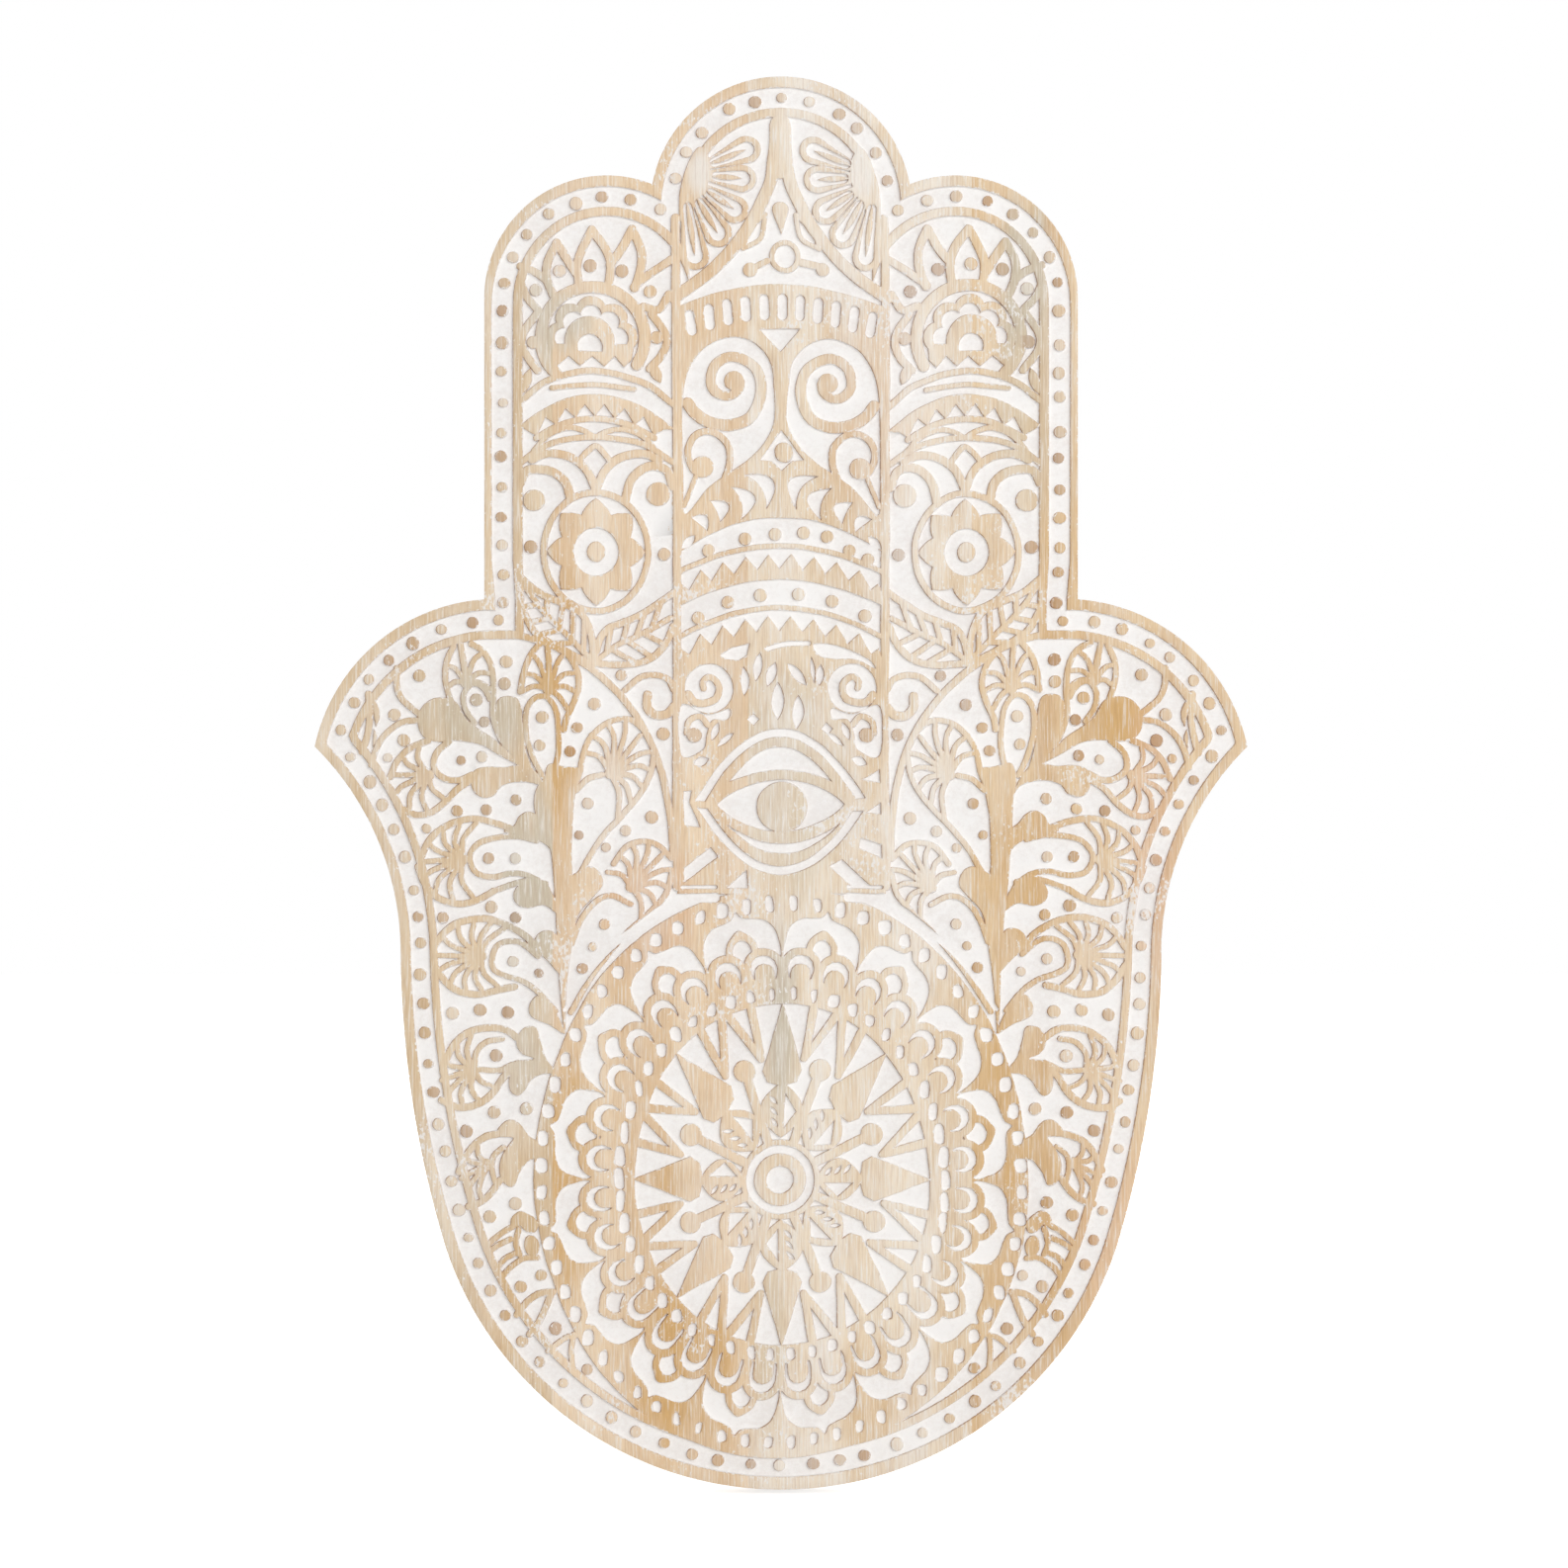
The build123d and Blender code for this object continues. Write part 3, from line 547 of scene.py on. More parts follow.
# %% Rosette and leaves
rosette = 79 + 398.3j
leave(circle(rosette, 23.4, 1.12))
cut(circle(rosette, 20.7, 1.13))
leave(circle(rosette, 15.2, 1.08))
for turn in range(0, 360, 45):
    tip = rosette + 20.9 * way(turn) + 1.6j * way(turn).imag
    leave(leaf(rosette + 3 * way(turn), tip, 6.6, 6.6))
cut(circle(rosette, 9.5, 1.06))
leave(circle(rosette, 3.8, 1.15))
leave_dots(2.75, 50 + 397.5j, 106.4 + 400j)
strokes(3, [45.5 + 381.5j, 52 + 377j, 60 + 372j, 68 + 368.5j, 74 + 366j, 77.5 + 361j, 80 + 352j],
        [46 + 367j, 49 + 360j, 54 + 354.5j, 60 + 351.5j, 68 + 350.5j, 79 + 351j],
        [80 + 352j, 80.5 + 361j, 82.5 + 368j, 86 + 373j, 94 + 377j, 103 + 381j, 111 + 387.5j],
        [80 + 350.5j, 86 + 353.5j, 93 + 357j, 100 + 361j, 105 + 365j, 108.5 + 371j, 111 + 377j])
strokes(2.4, [79 + 352j, 70 + 359j, 60 + 363.5j, 47 + 370.5j],
        [80 + 352j, 87 + 359j, 94 + 366j, 101 + 373j, 109 + 384j], [74.5 + 356j, 73 + 365j],
        [68 + 360j, 65.5 + 369j], [62 + 362.5j, 58.5 + 372j], [55.5 + 365.5j, 51.5 + 376j],
        [72 + 357j, 63 + 352j], [65 + 360.5j, 56 + 354.5j], [58 + 363.5j, 50 + 359.5j],
        [84 + 356j, 84 + 369j], [89 + 361.5j, 88.5 + 373j], [94.5 + 366.5j, 93 + 375.5j],
        [100 + 372j, 99.5 + 379j], [88 + 360j, 96 + 359.5j], [93.5 + 365.5j, 102.5 + 363.5j],
        [98.5 + 370.5j, 107 + 368.5j], [103.5 + 376j, 109.5 + 375j])
print(len(carving), "outlines with the outer fingers")

# %% [markdown]
# ## The palm's sides
# A stem climbs each side of the palm. Dotted drops and round palmettes grow from it with
# small knobs where they join, and loose dots fill what is left of the ground.

# %% Stem, buds and knobs
bud(84 + 305.5j, 91 + 307j, 98 + 308j, 100 + 301j, 98.5 + 293j, 98 + 284j, 97.6 + 276j, 97 + 266j,
    96 + 252j, 95 + 238j, 94.3 + 222j, 93.3 + 203j, 92 + 194j, 90.8 + 215j, 88.6 + 230j,
    86.8 + 242j, 88.3 + 258j, 88.7 + 272j, 88.2 + 286j, 86.5 + 297j)
leave_once(smooth([-97 + 305j, -104 + 297j, -104.5 + 288j, -101 + 280j, -98 + 272j, -96 + 262j,
                   -92 + 255j, -90 + 270j, -90 + 290j, -92 + 302j], closed=True))
bud(99.5 + 298j, 104 + 304j, 107.3 + 312j, 109 + 322j, 109.8 + 331j, 111.5 + 336j, 115.5 + 337.3j,
    119.5 + 336j, 121 + 331.5j, 120 + 324j, 117 + 316j, 112 + 308j, 105 + 301j)
bud(110 + 307j, 116.5 + 314j, 122 + 319j, 129 + 323.5j, 134 + 328j, 138 + 334.5j, 143 + 336.5j,
    149 + 335.5j, 153.5 + 331j, 154.5 + 325j, 152 + 319.5j, 146 + 317.3j, 137 + 317.7j,
    128 + 316.3j, 119 + 311.5j)
bud(97 + 292j, 101 + 298j, 107 + 300.3j, 114 + 300.3j, 119 + 298.5j, 122 + 295j, 126.5 + 293.7j,
    130.5 + 296j, 132 + 301j, 130 + 305.5j, 124 + 307j, 117 + 306.7j, 110 + 307.5j, 103 + 304j)
bud(93.5 + 260j, 95.5 + 268j, 98.5 + 273j, 104 + 276.3j, 111 + 278j, 118 + 279.7j, 113.5 + 282.5j,
    111.5 + 286j, 107.5 + 288.2j, 103.5 + 286.5j, 100 + 282.5j, 95 + 279j, 91 + 272j)
bud(92 + 242j, 96 + 252j, 100 + 257.5j, 106 + 259.3j, 111 + 258j, 113.7 + 254j, 112.3 + 249.7j,
    107.5 + 247.8j, 101 + 249j, 96 + 246j)
bud(91.5 + 217j, 91.5 + 229j, 94 + 235j, 97.5 + 238.2j, 102 + 237.3j, 104.7 + 233.5j, 104 + 229.5j,
    99 + 225j)
bud(92 + 193j, 96 + 202.5j, 100 + 208j, 104 + 209.5j, 107 + 206j, 107 + 201.5j, 104 + 199j,
    99 + 197j)
bud(96.5 + 177j, 100.5 + 183j, 102.5 + 190j, 104 + 195.5j, 108 + 196.2j, 111.3 + 193.5j,
    112.5 + 188.5j, 110 + 184.5j, 105.5 + 182.5j, 109 + 181j, 113.5 + 179.5j, 115.5 + 174.5j,
    115 + 169j, 112 + 166.8j, 109.3 + 169j, 106.5 + 173.5j, 102.5 + 175.8j)
bud(103 + 147.5j, 107 + 150.5j, 110.5 + 155j, 114 + 157j, 117.5 + 155.8j, 120.5 + 152j, 119 + 150j,
    113.5 + 149.5j, 116.5 + 145j, 119 + 139.5j, 118.8 + 133.5j, 116 + 129.5j, 113 + 129.5j,
    111 + 134.5j, 107.5 + 139.5j, 104 + 141.5j)
bud(103.5 + 113.5j, 107 + 117j, 111 + 118.6j, 114.5 + 115.5j, 114.5 + 111j, 111 + 112.5j,
    108.5 + 110j, 105 + 109.5j)
bud(103 + 104j, 105.5 + 108j, 108.5 + 107.5j, 109.5 + 103.5j, 108 + 100j, 104.5 + 99.5j)
bud(75.5 + 257j, 77 + 262.5j, 81 + 265j, 86 + 263j, 90 + 259j, 91 + 246j, 88.5 + 238j, 85 + 246j,
    79.5 + 252j)
print(len(carving), "outlines with the stems")

# %% Palmettes by the thumb
strokes(2.6, [100 + 359.5j, 93.5 + 357j, 88 + 351j, 85.7 + 343j, 87.3 + 335.5j, 90.5 + 328j,
              91.5 + 322.5j], [101.5 + 360.5j, 106 + 355j, 109 + 347.5j, 110.3 + 339j],
        [98.5 + 338j, 98.5 + 347j, 99 + 358j],
        [131.5 + 359.5j, 126.5 + 356.5j, 123.2 + 351j, 122 + 344j, 122 + 336j, 122 + 328j,
         119.5 + 320.5j, 116 + 315j],
        [139 + 358.5j, 142 + 352j, 142.7 + 345j, 141.5 + 339j, 139.5 + 333j],
        [133 + 342j, 134.2 + 349j, 136 + 359j])
fronds(98.3 + 340j, 99 + 359j, 92 + 355.5j, 88 + 347j, 87 + 339j, 90.5 + 331.5j, 105.5 + 355j,
       109 + 346.5j, 109.5 + 339j)
fronds(133.8 + 343j, 136 + 358j, 127.5 + 355j, 123.5 + 347j, 122.5 + 339.5j, 141 + 350j,
       141.5 + 341j)
strokes(2.4, [98.5 + 299j, 94.5 + 310j, 93.8 + 320j, 95 + 330j, 98 + 335.8j, 101.5 + 337.2j,
              105.5 + 335j, 108 + 329.5j, 107.5 + 320j, 105 + 311j, 101 + 303j],
        [123.5 + 336j, 125.3 + 339.5j, 128.5 + 342.3j, 132 + 342j, 134.8 + 337.5j, 134 + 331.5j,
         130 + 325.5j])
strokes(2.7, [141 + 317.5j, 146.5 + 312.5j, 147.5 + 306j, 143 + 301.7j, 137 + 301j, 131 + 303.5j],
        [150 + 317.8j, 158 + 314.5j, 163 + 309j, 166 + 302j],
        [132 + 301j, 138 + 297j, 143 + 291.5j, 149 + 287j, 155 + 285.8j, 161 + 288.5j])
fronds(150 + 303j, 164.5 + 303j, 154 + 315.5j, 160.5 + 310.5j, 163.5 + 295j, 158 + 288.5j,
       150.5 + 287.5j, 143.5 + 293j)
print(len(carving), "outlines with the upper palmettes")

# %% Palmettes down the side
strokes(2.8, [113 + 280.3j, 121 + 283j, 130 + 284.7j, 138 + 283.5j, 145.5 + 279.5j, 150.5 + 274j,
              153.5 + 267.5j],
        [122 + 255j, 129 + 251j, 138 + 249j, 146 + 251.5j, 151.5 + 257j, 154.5 + 264j])
strokes(2.4, [104 + 276j, 112 + 277.8j, 120 + 277.3j, 127.5 + 275.3j, 132 + 271j, 132.5 + 266.5j,
              129.5 + 262j, 122 + 260.7j, 114 + 262.5j, 106.5 + 261.3j, 100.5 + 257j, 97 + 251j])
fronds(136 + 267.5j, 153 + 266j, 129.5 + 283.5j, 137 + 282.5j, 144 + 279j, 149.5 + 273.5j,
       152 + 259.5j, 147 + 253.5j, 139.5 + 250.5j, 131 + 252j)
strokes(3, [104 + 230j, 107 + 234.5j, 112 + 238.5j, 120 + 242j, 128 + 243j, 137 + 241j,
            143 + 236.5j, 147 + 230.5j],
        [113 + 213.7j, 120 + 212.3j, 128 + 210.3j, 136 + 211.5j, 142 + 216j, 147 + 223j])
strokes(2.4, [103 + 227j, 110 + 232.8j, 115.5 + 233.6j, 120.5 + 231.3j, 122.3 + 226j,
              121.5 + 221.5j, 117 + 218.6j, 109.5 + 216j, 102 + 210j, 96 + 202.5j])
fronds(127 + 227j, 146 + 227j, 117 + 239.5j, 123 + 241.5j, 130 + 241.5j, 137 + 239.5j, 143 + 234.5j,
       144.5 + 220.5j, 140 + 214.5j, 133.5 + 211.5j, 126.5 + 211.5j, 119.5 + 213.5j)
strokes(3, [111 + 190.5j, 117 + 194.8j, 124 + 195.8j, 131 + 194.3j, 137 + 190.3j, 141 + 184.5j,
            143.5 + 177j], [112 + 180.5j, 118 + 174.5j, 122 + 168.5j, 127 + 164.3j, 133 + 162.3j,
                            139 + 162.5j, 144 + 165j])
strokes(2.4, [118.5 + 191j, 125 + 189.6j, 129.3 + 185j, 129.8 + 179j],
        [107 + 181j, 114 + 180j, 120 + 177.5j, 130 + 178j])
fronds(130.5 + 178j, 144 + 173.5j, 131 + 193.5j, 137.5 + 189j, 142.5 + 181.5j, 141.5 + 166j,
       135 + 163j, 128 + 164.5j, 122 + 170.5j)
strokes(2.9, [118.5 + 151.5j, 124.5 + 150j, 129.5 + 147j, 133.5 + 142j, 136.5 + 135.5j],
        [119 + 132j, 122.5 + 127j, 127 + 123j, 132.5 + 121j])
strokes(2.3, [117.5 + 145.5j, 121.5 + 142j, 122.5 + 137j, 121 + 131j])
fronds(124.5 + 138.5j, 135.5 + 133j, 128.5 + 147.5j, 133.5 + 141.5j, 132.5 + 126.5j, 126.5 + 123.5j)
strokes(2.4, [114.5 + 112j, 119.5 + 109j, 125 + 104j], [111.5 + 111j, 113 + 105j, 111.5 + 100j],
        [104 + 98.5j, 110 + 98.3j, 115.5 + 94.5j, 119.5 + 89.5j],
        [115 + 107j, 120 + 104.5j, 124 + 101.5j], [113 + 101j, 117.5 + 98.5j, 121 + 94j])
strokes(2.8, [97.5 + 84j, 103 + 83.2j, 108 + 80j, 112.5 + 74.5j],
        [98 + 84j, 100.3 + 78j, 103 + 72j, 107 + 66j])
strokes(2.3, [86 + 66j, 92 + 64.5j, 99 + 59j], [88.3 + 66j, 89 + 58.5j, 88 + 50j])
print(len(carving), "outlines with all of the palmettes")

# %% Inner side, thumb and dots
strokes(2.4, [100 + 258j, 106 + 259.5j, 112 + 258.5j, 122 + 255j])
strokes(3, [111 + 363j, 99 + 359.5j, 87 + 353j, 76.5 + 345.5j, 67.5 + 336.5j, 60 + 326j,
            54 + 314.5j, 49.8 + 301j, 47.3 + 287j, 46 + 270j])
strokes(2.4, [57 + 321.5j, 64 + 326.8j, 72 + 326.2j, 79 + 321j, 83 + 314j, 84.8 + 305j],
        [54 + 312j, 55.5 + 303.5j, 60 + 295j, 67 + 287j, 74 + 279.5j, 80 + 271.5j, 85.5 + 261.5j],
        [75.5 + 303.5j, 81.5 + 301.8j, 86.5 + 297j])
fronds(72 + 304j, 59.5 + 320j, 66 + 326j, 73.5 + 325.5j, 80 + 320.5j, 83.5 + 313j, 55.5 + 313j,
       55.5 + 305.5j, 58.5 + 298j, 63.5 + 291j, 69.5 + 284.5j)
strokes(2.4, [46.5 + 268j, 53 + 274j, 60 + 275.2j, 66 + 272.8j, 71 + 266j],
        [46.5 + 262j, 49 + 252.5j, 56.5 + 244j, 64 + 237j, 72 + 228j, 80.5 + 216.5j, 89.5 + 202j],
        [63.5 + 248.5j, 71.5 + 252.3j, 78.5 + 250j, 84.5 + 242.5j, 88.5 + 232j])
fronds(63.5 + 256j, 49.5 + 271j, 56.5 + 274.5j, 63 + 274j, 69 + 269.5j, 73.5 + 262.5j,
       46.8 + 263.5j, 48 + 255.5j, 52.5 + 248j, 59 + 241.5j)
strokes(2.6, [66.5 + 339.5j, 60 + 345j, 53.3 + 346.3j, 48 + 344.3j, 45.5 + 340j])
strokes(3.8, [56.8 + 337.5j, 56.8 + 332.5j, 53.5 + 329j, 48.5 + 329.3j, 45.5 + 332.5j])
strokes(2.6, [163.7 + 349j, 163.5 + 341j, 161.5 + 336j, 158 + 332.5j, 153 + 328.5j],
        [153 + 326.7j, 160 + 326j, 165 + 323.5j, 169.5 + 319j, 172.5 + 313j, 174 + 307j])
strokes(2.9, [175.5 + 338j, 175 + 328j, 176 + 320j, 178 + 313j])
leave(leaf(174 + 336.5j, 172.3 + 324j, 0.3, 2.4), leaf(173.2 + 323j, 173.5 + 315j, 0.2, 1.4))
leave_dots(2.7, 116.5 + 352j, 117 + 342.5j, 153.7 + 345.8j, 164.4 + 329j, 160.5 + 318j,
           129.3 + 335.5j, 101 + 328j, 123 + 248j, 116 + 202.5j, 127.5 + 203.5j, 139 + 202j,
           121 + 183.8j, 108.3 + 161.5j, 121.7 + 160j, 133.3 + 152.3j, 112.7 + 122j, 123.5 + 116.5j,
           111 + 86.3j, 96 + 68.5j, 55 + 285.5j, 79 + 333.5j, 50 + 321j)
leave_dots(2.4, 125.8 + 326j, 102 + 316j, 127 + 311j, 113 + 268.7j, 124.5 + 268.5j, 113.5 + 225j,
           112.5 + 293j, 125.5 + 288.7j, 138 + 288j, 112.5 + 244j, 143.5 + 243j, 102.5 + 91j,
           82 + 51.5j, 66 + 280j, 86 + 323.5j, 89 + 313.5j, 74.5 + 240j, 84 + 221j, 68 + 346j,
           81.7 + 291.5j)
leave_dots(2, 136 + 309.5j, 167 + 310.5j, 151 + 280j, 102.5 + 219.5j, 74.3 + 273j, 85.6 + 278.3j,
           79.5 + 230.5j)
print(len(carving), "outlines, and", len(dots), "dots")

# %% [markdown]
# ## The mandala
# The palm is filled by a wheel of rings, slightly taller than wide: a hub, a star of eight
# spears with beads between them, short dashes, crescents, sixteen lotus petals with an
# arch in each, and an edge of dashes. The outer rings are a little broader than the star.
# Every dash is a chip of the chisel with its own uneven corners.

# %% Wheel, rings and chips
CENTRE = 132j
RISE_ABOVE = 1.18
RISE_BELOW = 1.13
chisel = np.random.default_rng(11)


def on_wheel(radius, degrees, broad=1.0):
    turn = way(degrees)
    rise = RISE_ABOVE if turn.imag > 0 else RISE_BELOW
    return CENTRE + radius * (broad * turn.real + 1j * rise * turn.imag)


def on_rim(radius, degrees):
    return on_wheel(radius, degrees, broad=1.025)


def ring(radius):
    turns = np.linspace(0, 360, round(6.3 * radius / 1.5))[:-1]
    return np.array([on_wheel(radius, turn) for turn in turns])


def chip(place, wide, tall):
    across = wide * np.array([-1, 1, 1, -1])
    up = tall * np.array([-1, -1, 1, 1])
    corners = place + 0.4 * (across + 1j * up)
    return smooth(corners + chisel.normal(0, 0.3, 4) + 1j * chisel.normal(0, 0.3, 4), closed=True)


leave_once(ring(105))
cut(ribbon([92 + 203j, 84 + 215j, 74 + 227.5j, 61 + 238.5j, 50 + 246.5j, 40 + 250.3j, 28 + 251.5j],
           1.8, 4.2))
for turn in np.arange(64) * 5.625 + 2.8:
    direction = way(turn)
    if direction.imag < -0.75:
        cut_once(chip(on_rim(99.2, turn), 3.4, 5.4))
    elif abs(direction.real) < 0.2:
        cut_once(chip(on_rim(99.2, turn), 3.6, 7))
    else:
        cut_once(chip(on_rim(99.6, turn), 4.8, 6))
print(len(carving), "outlines with the mandala's edge")

# %% [markdown]
# Half a petal is a row of points, each an angle from the petal's middle and a radius; the
# other half is its mirror image. Scallops between the petals carry the crescents.

# %% Petals, scallops and crescents
PETAL = ((-4, 77.5), (-10.6, 79.5), (-10.2, 87), (-8.8, 91.5), (-6.2, 94), (-3.4, 94.6),
         (-1.2, 95.6), (0, 98))
ARCH = ((-2, 78), (-4.3, 80), (-4.5, 84), (-3.7, 87), (-2.1, 89.2), (0, 91))
HOLLOW = ((-0.8, 79), (-2.4, 81.2), (-2.7, 83.8), (-1.9, 86.2), (0, 87.4))


def petal_shape(turn, half):
    edge = [on_rim(out, turn + side) for side, out in half]
    return smooth(edge + [on_rim(out, turn - side) for side, out in half[-2::-1]], closed=True)


for turn in np.arange(16) * 22.5 + 11.25:
    cut_once(petal_shape(turn, PETAL))
    leave_once(petal_shape(turn, ARCH))
    cut_once(petal_shape(turn, HOLLOW))
scallops = np.arange(32) * 11.25 + 5.6
for turn in scallops:
    leave_once(circle(on_rim(76.6, turn), 8.4))
for turn in scallops:
    leg = 5 if way(turn).imag < -0.6 else 1.2
    cut_once(ribbon([on_rim(76.4 - leg, turn), on_rim(76.4, turn)], 11))
    leave_once(ribbon([on_rim(66, turn), on_rim(74.3, turn)], 8.6))
leave_once(ring(70.2))
for turn in np.arange(50) * 7.2:
    level = abs(way(turn).real)
    wide = 3.1 if level < 0.25 else 4
    tall = 9.2 if level > 0.96 else 7.4 if level > 0.86 else 5.6
    cut_once(chip(on_wheel(66.9, turn, broad=1.045), wide, tall))
print(len(carving), "outlines with petals and crescents")

# %% Star and hub
cut_once(ring(63.2))
for turn in range(0, 360, 45):
    leave_once(straight([on_wheel(64, turn), on_wheel(40, turn + 12), on_wheel(35.5, turn + 10),
                         on_wheel(33.5, turn), on_wheel(35.5, turn - 10), on_wheel(40, turn - 12)]))
    leave_once(leaf(on_wheel(15, turn), on_wheel(35, turn), 9, 9))
    cut_once(straight([on_wheel(18.5, turn - 4), on_wheel(31, turn - 2.5), on_wheel(25, turn - 15)]))
    for out in (19, 23, 27):
        nick_end = on_wheel(out + 3.5, turn + 13 - 0.1 * out)
        cut_once(leaf(on_wheel(out, turn + 4), nick_end, 0.9, 0.9))
for turn in np.arange(8) * 45 + 22.5:
    leave_once(ribbon([on_wheel(15, turn), on_wheel(41, turn)], 4), circle(on_wheel(42.2, turn), 4.7))
    for side in (-1, 1):
        corner = on_wheel(44.3, turn + 10.7 * side)
        leave_once(ribbon([corner, on_wheel(62.8, turn + 1.4 * side)], 3, 3.8),
                   ribbon([corner, on_wheel(62.8, turn + 10.4 * side)], 3, 3.8))
leave_once(circle(CENTRE, 17))
cut_once(circle(CENTRE, 14.6))
leave_once(circle(CENTRE, 11.1))
cut_once(circle(CENTRE, 5.8))
print(len(carving), "outlines in the whole pattern")

# %% [markdown]
# ## From outlines to depth
# A gouge leaves a steep wall, a slightly worn upper edge and a flat ground, and it bites a
# little past the pencil line. The depth at a point follows from its distance to each
# outline: one on the face, nought on the ground. DEPTH is how far the ground lies under
# the face, BITE how far the cut passes the line, SHOULDER how wide the worn edge is, WEAR
# how much of the height it loses, and RUN how far the wall leans out at its foot.

# %% Heights
DEPTH = 1.8
BITE = 0.15
SHOULDER = 0.7
RUN = 0.45
WEAR = 0.12
REACH = 1.0
FAR = 5.0
PIECE = 12


def among(points, line, margin):
    x, y = points.real, points.imag
    beside = (x > line.real.min() - margin) & (x < line.real.max() + margin)
    level = (y > line.imag.min() - margin) & (y < line.imag.max() + margin)
    return np.flatnonzero(beside & level)


def distance_to(points, outline):
    gap = np.full(len(points), FAR)
    loop = np.append(outline, outline[0])
    for first in range(0, len(outline), PIECE):
        piece = loop[first:first + PIECE + 1]
        near = among(points, piece, REACH)
        reach = points[near, None] - piece[:-1]
        edge = np.diff(piece)
        along = np.clip((reach * edge.conjugate()).real / (abs(edge) ** 2 + 1e-9), 0, 1)
        if len(near):
            gap[near] = np.minimum(gap[near], abs(reach - along * edge).min(axis=1))
    return np.where(inside(points, outline), -gap, gap)


def slope(gap):
    gap = gap + BITE
    worn = 1 - WEAR * np.clip(1 + gap / SHOULDER, 0, 1) ** 2
    wall = (1 - WEAR) * np.clip(1 - gap / RUN, 0, 1)
    return np.where(gap < 0, worn, wall)


def heights(points):
    board = np.min([distance_to(points, shape) for shape in hand], axis=0)
    height = slope(board - BITE)
    for standing, outline in carving:
        near = among(points, outline, REACH)
        if len(near):
            gap = distance_to(points[near], outline)
            if standing:
                height[near] = np.maximum(height[near], slope(gap))
            else:
                height[near] = np.minimum(height[near], slope(-gap))
    return height


drawn_heights = heights(np.concatenate([outline for standing, outline in carving]))
print(len(drawn_heights), "points drawn")

# %% [markdown]
# ## Carving the board
# A grid fine enough for these walls would be far too heavy. Instead the lines of the
# carving are laid into the surface: two along the edge of the board, and three where an
# outline really shows, which are the worn edge, the outline and the foot of the wall. A
# triangulation that keeps those lines joins them. The glue lines part the staves.

# %% Lines of the carving
GLUE_LINES = (-97, -14, 81)
GLUE_POINTS = 200
LOWEST_SHOWN = 0.04
HIGHEST_SHOWN = 0.97
surface_points, surface_edges = [], []


def lay_lines(outline, shown, *distances):
    shown = shown | np.roll(shown, 1) | np.roll(shown, -1)
    numbers = np.cumsum(shown) - 1
    for distance in distances:
        first = len(surface_points)
        surface_points.extend(offset(outline, distance)[shown])
        for i in np.flatnonzero(shown & np.roll(shown, -1)):
            following = (i + 1) % len(outline)
            surface_edges.append((first + int(numbers[i]), first + int(numbers[following])))


for shape in hand:
    hidden = [inside(shape, other) for other in hand if other is not shape]
    lay_lines(shape, ~np.any(hidden, axis=0), -SHOULDER, 0.0)
used = 0
for standing, outline in carving:
    height = drawn_heights[used:used + len(outline)]
    used += len(outline)
    turning = np.sign((outline.conjugate() * np.roll(outline, -1)).imag.sum())
    out = turning if standing else -turning
    lay_lines(outline, (height > LOWEST_SHOWN) & (height < HIGHEST_SHOWN),
              -(BITE + SHOULDER) * out, -BITE * out, (RUN - BITE) * out)
for x in GLUE_LINES:
    first = len(surface_points)
    surface_points.extend(x + 1j * np.linspace(-5, 605, GLUE_POINTS))
    surface_edges.extend((n, n + 1) for n in range(first, first + GLUE_POINTS - 1))
print(len(surface_points), "points on", len(surface_edges), "edges to keep")

# %% [markdown]
# Triangles outside the hand are dropped, and each corner is let down to its own depth.
# Every dot also gets a tone of its own, since some took up more stain than others.

# %% Carved face
flat = [Vector((p.real, p.imag)) for p in surface_points]
corners, _, triangles, _, _, _ = delaunay_2d_cdt(flat, surface_edges, [], 0, 0.02)
places = np.array([complex(*corner) for corner in corners])
triangles = np.array(triangles)
middles = places[triangles].mean(axis=1)
in_hand = np.zeros(len(middles), bool)
for shape in hand:
    in_hand |= inside(middles, shape)
triangles, middles = triangles[in_hand], middles[in_hand]
height = heights(places)
PALEST_DOT = -0.3
DARKEST_DOT = 0.7
stained = np.random.default_rng(8)
shade = np.zeros(len(places))
for dot in dots:
    near = among(places, dot, 0.5)
    near = near[abs(places[near] - dot.mean()) < np.ptp(dot.real) / 2 + 0.4]
    shade[near] = stained.uniform(PALEST_DOT, DARKEST_DOT)
print(len(places), "corners and", len(triangles), "triangles on the carved face")

# %% [markdown]
# Each stave takes its share of the face. Its open border is extruded straight to the back
# of the board and the hole there is filled, which closes it. Two attributes stay on its
# corners for the finish: how deep each one is carved, and the tone of its dot.

# %% Four staves
STAVES = ("left_outer", "left_inner", "right_inner", "right_outer")
staves = {}


def close_behind(bm, carved, stain):
    border = [edge for edge in bm.edges if edge.is_boundary]
    for vert in bmesh.ops.extrude_edge_only(bm, edges=border)["geom"]:
        if isinstance(vert, bmesh.types.BMVert):
            vert.co.y = BACK / 1000
            vert[carved] = 0
            vert[stain] = 0
    bmesh.ops.holes_fill(bm, edges=[edge for edge in bm.edges if edge.is_boundary], sides=0)
    bmesh.ops.recalc_face_normals(bm, faces=bm.faces)


